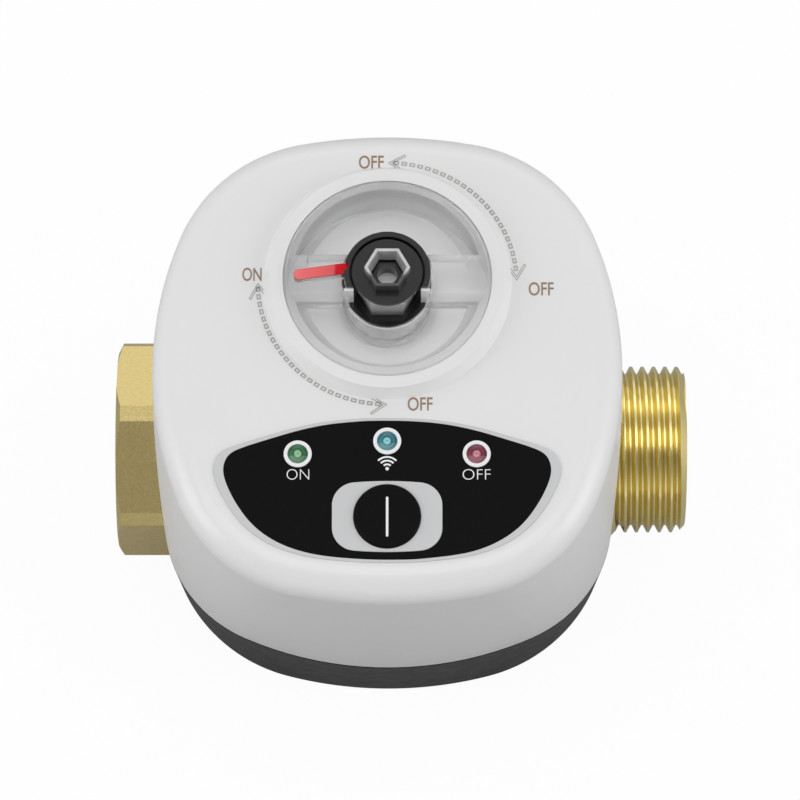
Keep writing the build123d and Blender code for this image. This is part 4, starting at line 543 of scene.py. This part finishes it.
# dotted double arrows on the white face
ARC_R = 19.15
DOT_STEP = 3.6
DOT_SIZE = (0.62, 0.84)
DOT_HOLE = (0.24, 0.44)
ARROW_LENGTH, ARROW_HALF, ARROW_STROKE = 2.15, 1.35, 0.42
ARROW_BACK = 0.4


def arrow_outline(length, half, stroke):
    """Outline of a V that points along +x, its middle line's tip a little behind the origin."""
    slope = hypot(length, half)
    run = stroke / 2 * slope / half
    across_x = stroke / 2 * half / slope
    across_y = stroke / 2 * length / slope
    outline = [(run - ARROW_BACK, 0)]
    for side in (1, -1):
        x, y = -ARROW_BACK - length, side * half
        ends = [(x + across_x, y + side * across_y), (x - across_x, y - side * across_y)]
        outline += ends[::side]
        if side == 1:
            outline.append((-ARROW_BACK - run, 0))
    return outline


def dotted_arc(name, first, tips):
    """Small open blocks along a quarter of a circle, with an open arrowhead at each end.

    Each tip is its angle on the circle and the way it points; the first block is first degrees in.
    """
    bm = bmesh.new()
    start, end = tips[0][0], tips[1][0]
    way = 1 if end > start else -1
    count = int((abs(end - start) - 2 * first) / DOT_STEP) + 1
    for n in range(count):
        a = radians(start + way * (first + n * DOT_STEP))
        x, y = ARC_R * cos(a), ARC_R * sin(a)
        block, hole = (placed(rectangle(*size), x, y, a) for size in (DOT_SIZE, DOT_HOLE))
        prism(bm, block, FACE_Z, [hole])
    outer = arrow_outline(ARROW_LENGTH, ARROW_HALF, ARROW_STROKE)
    inner = arrow_outline(ARROW_LENGTH - 0.1, ARROW_HALF - 0.065, ARROW_STROKE - 0.26)
    for angle, turn in tips:
        a = radians(angle)
        x, y = ARC_R * cos(a), ARC_R * sin(a)
        head, hole = (placed(line, x, y, radians(turn)) for line in (outer, inner))
        prism(bm, head, FACE_Z, [hole])
    add_piece(name, bake(name, bm), stone_print, "housing")


dotted_arc("mark_arc_back_right", 3.75, ((89.8, 176.0), (0.9, -88.0)))
dotted_arc("mark_arc_front_left", 3.1, ((180.0, 94.0), (270.1, 3.0)))

# words on the panel
PANEL_WORD_H = 1.62
PANEL_WORD_Y = -30.08

for name, text, x, width in (("print_on", "ON", -13.05, 3.3), ("print_off", "OFF", 13.07, 4.08)):
    word(
        name, text, x, PANEL_WORD_Y, PANEL_Z, width, PANEL_WORD_H, white_print,
        -0.025,
    )

# signal sign on the panel: a fan of three arcs over a dot
SIGN_X, SIGN_Y = 0.0, -29.2
SIGN_STROKE = 0.27

bm = bmesh.new()
prism(bm, arc(SIGN_X, SIGN_Y, SIGN_STROKE, 0, 360, 16)[:-1], PANEL_Z)
for r in (0.82, 1.39, 1.96):
    outer = arc(SIGN_X, SIGN_Y, r, 43, 137, 14)
    inner = arc(SIGN_X, SIGN_Y, r - SIGN_STROKE, 137, 43, 14)
    prism(bm, outer + inner, PANEL_Z)
name = "print_signal"
add_piece(name, bake(name, bm), white_print, "housing")

# line on the button, with round ends
LINE_HALF = 0.18
LINE_BACK_Y, LINE_FRONT_Y = -33.9, -39.7

bm = bmesh.new()
back_end = arc(0, LINE_BACK_Y, LINE_HALF, 0, 180, 8)
front_end = arc(0, LINE_FRONT_Y, LINE_HALF, 180, 360, 8)
prism(bm, back_end + front_end, BUTTON_Z)
name = "print_button_line"
add_piece(name, bake(name, bm), white_print, "button")

# stage: floor, world and lamps, in metres
FLOOR_HALF = 3.0
FLOOR_DROP = 0.0002
FLOOR_GLOW = 1.06
FLOOR_SHARE = 0.9
FLOOR_IN_GLOSS = 0.1
MOST_SKY_IN_GLOSS = 0.75


def background_share(tree, in_gloss):
    """How much background a ray sees: all straight or through glass, and in_gloss in gloss."""
    path = tree.nodes.new("ShaderNodeLightPath")
    straight = calc(
        tree, "MAXIMUM", path.outputs["Is Camera Ray"], path.outputs["Is Transmission Ray"]
    )
    gloss = calc(tree, "MULTIPLY", path.outputs["Is Glossy Ray"], in_gloss)
    return calc(tree, "MAXIMUM", straight, gloss)


def mix_background(tree, share, plain, background, output):
    """Puts a share of a background shader in place of the plain one."""
    mix = tree.nodes.new("ShaderNodeMixShader")
    tree.links.new(share, mix.inputs["Fac"])
    tree.links.new(plain.outputs[0], mix.inputs[1])
    tree.links.new(background.outputs[0], mix.inputs[2])
    tree.links.new(mix.outputs[0], tree.nodes[output].inputs["Surface"])


def floor():
    """Pale floor just below the part, which shows white to the camera and keeps the shadow."""
    bm = bmesh.new()
    bmesh.ops.create_grid(bm, x_segments=8, y_segments=8, size=FLOOR_HALF)
    bmesh.ops.translate(bm, verts=bm.verts, vec=(0, 0, -FLOOR_DROP))
    piece = bpy.data.objects.new("floor", bake("floor", bm))
    mat, tree, shader = material("floor", grey(0.40), 0.7)
    cloud = ramp(tree, noise(tree, 6, 2), (0.3, grey(0.39)), (0.7, grey(0.41)))
    tree.links.new(cloud, shader.inputs["Base Color"])
    glow = tree.nodes.new("ShaderNodeEmission")
    glow.inputs["Color"].default_value = (*grey(1), 1)
    glow.inputs["Strength"].default_value = FLOOR_GLOW
    share = calc(tree, "MULTIPLY", background_share(tree, FLOOR_IN_GLOSS), FLOOR_SHARE)
    mix_background(tree, share, shader, glow, "Material Output")
    mat.cycles.emission_sampling = "NONE"
    piece.data.materials.append(mat)
    scene.collection.objects.link(piece)


def sky():
    """Grey sky for the object, darker overhead; white for the camera, and in gloss to the back."""
    world = bpy.data.worlds.new("world")
    world.use_nodes = True
    tree = world.node_tree
    _, y, z = axes(tree, "Generated")
    shades = ramp(
        tree, z,
        (0.0, grey(0.92)), (0.25, grey(0.82)), (0.6, (0.44, 0.44, 0.445)),
        (0.85, (0.26, 0.26, 0.265)), (1.0, (0.26, 0.26, 0.265)),
    )
    plain = tree.nodes["Background"]
    plain.inputs["Strength"].default_value = 1.0
    tree.links.new(shades, plain.inputs["Color"])
    white = tree.nodes.new("ShaderNodeBackground")
    white.inputs["Color"].default_value = (*grey(1), 1)
    white.inputs["Strength"].default_value = 1.0
    backward = calc(tree, "MULTIPLY", calc(tree, "ADD", y, 0.5), 0.62)
    in_gloss = calc(tree, "MINIMUM", calc(tree, "MAXIMUM", backward, 0.0), MOST_SKY_IN_GLOSS)
    mix_background(tree, background_share(tree, in_gloss), plain, white, "World Output")
    scene.world = world


LAMP_TARGET = (0, 0, 0.05)


def lamp(name, place, size, power, color=(1, 1, 1)):
    """A rectangular lamp that faces the part."""
    data = bpy.data.lights.new(name, "AREA")
    data.shape = "RECTANGLE"
    data.size, data.size_y = size
    data.energy = power
    data.color = color
    item = bpy.data.objects.new(name, data)
    item.location = place
    aim = Vector(LAMP_TARGET) - Vector(place)
    item.rotation_euler = aim.to_track_quat("-Z", "Y").to_euler()
    scene.collection.objects.link(item)


floor()
sky()
lamp("lamp_key", (0.0, -0.05, 1.1), (1.1, 0.5), 2.7)
lamp("lamp_left", (-0.87, -0.2, 0.52), (0.5, 0.7), 2.8, (1, 0.995, 0.98))
lamp("lamp_right", (0.9, -0.2, 0.5), (0.5, 0.7), 3.0)
lamp("lamp_back", (0.0, 0.85, 0.75), (1.0, 0.4), 1.3)
scene.view_settings.view_transform = "Standard"
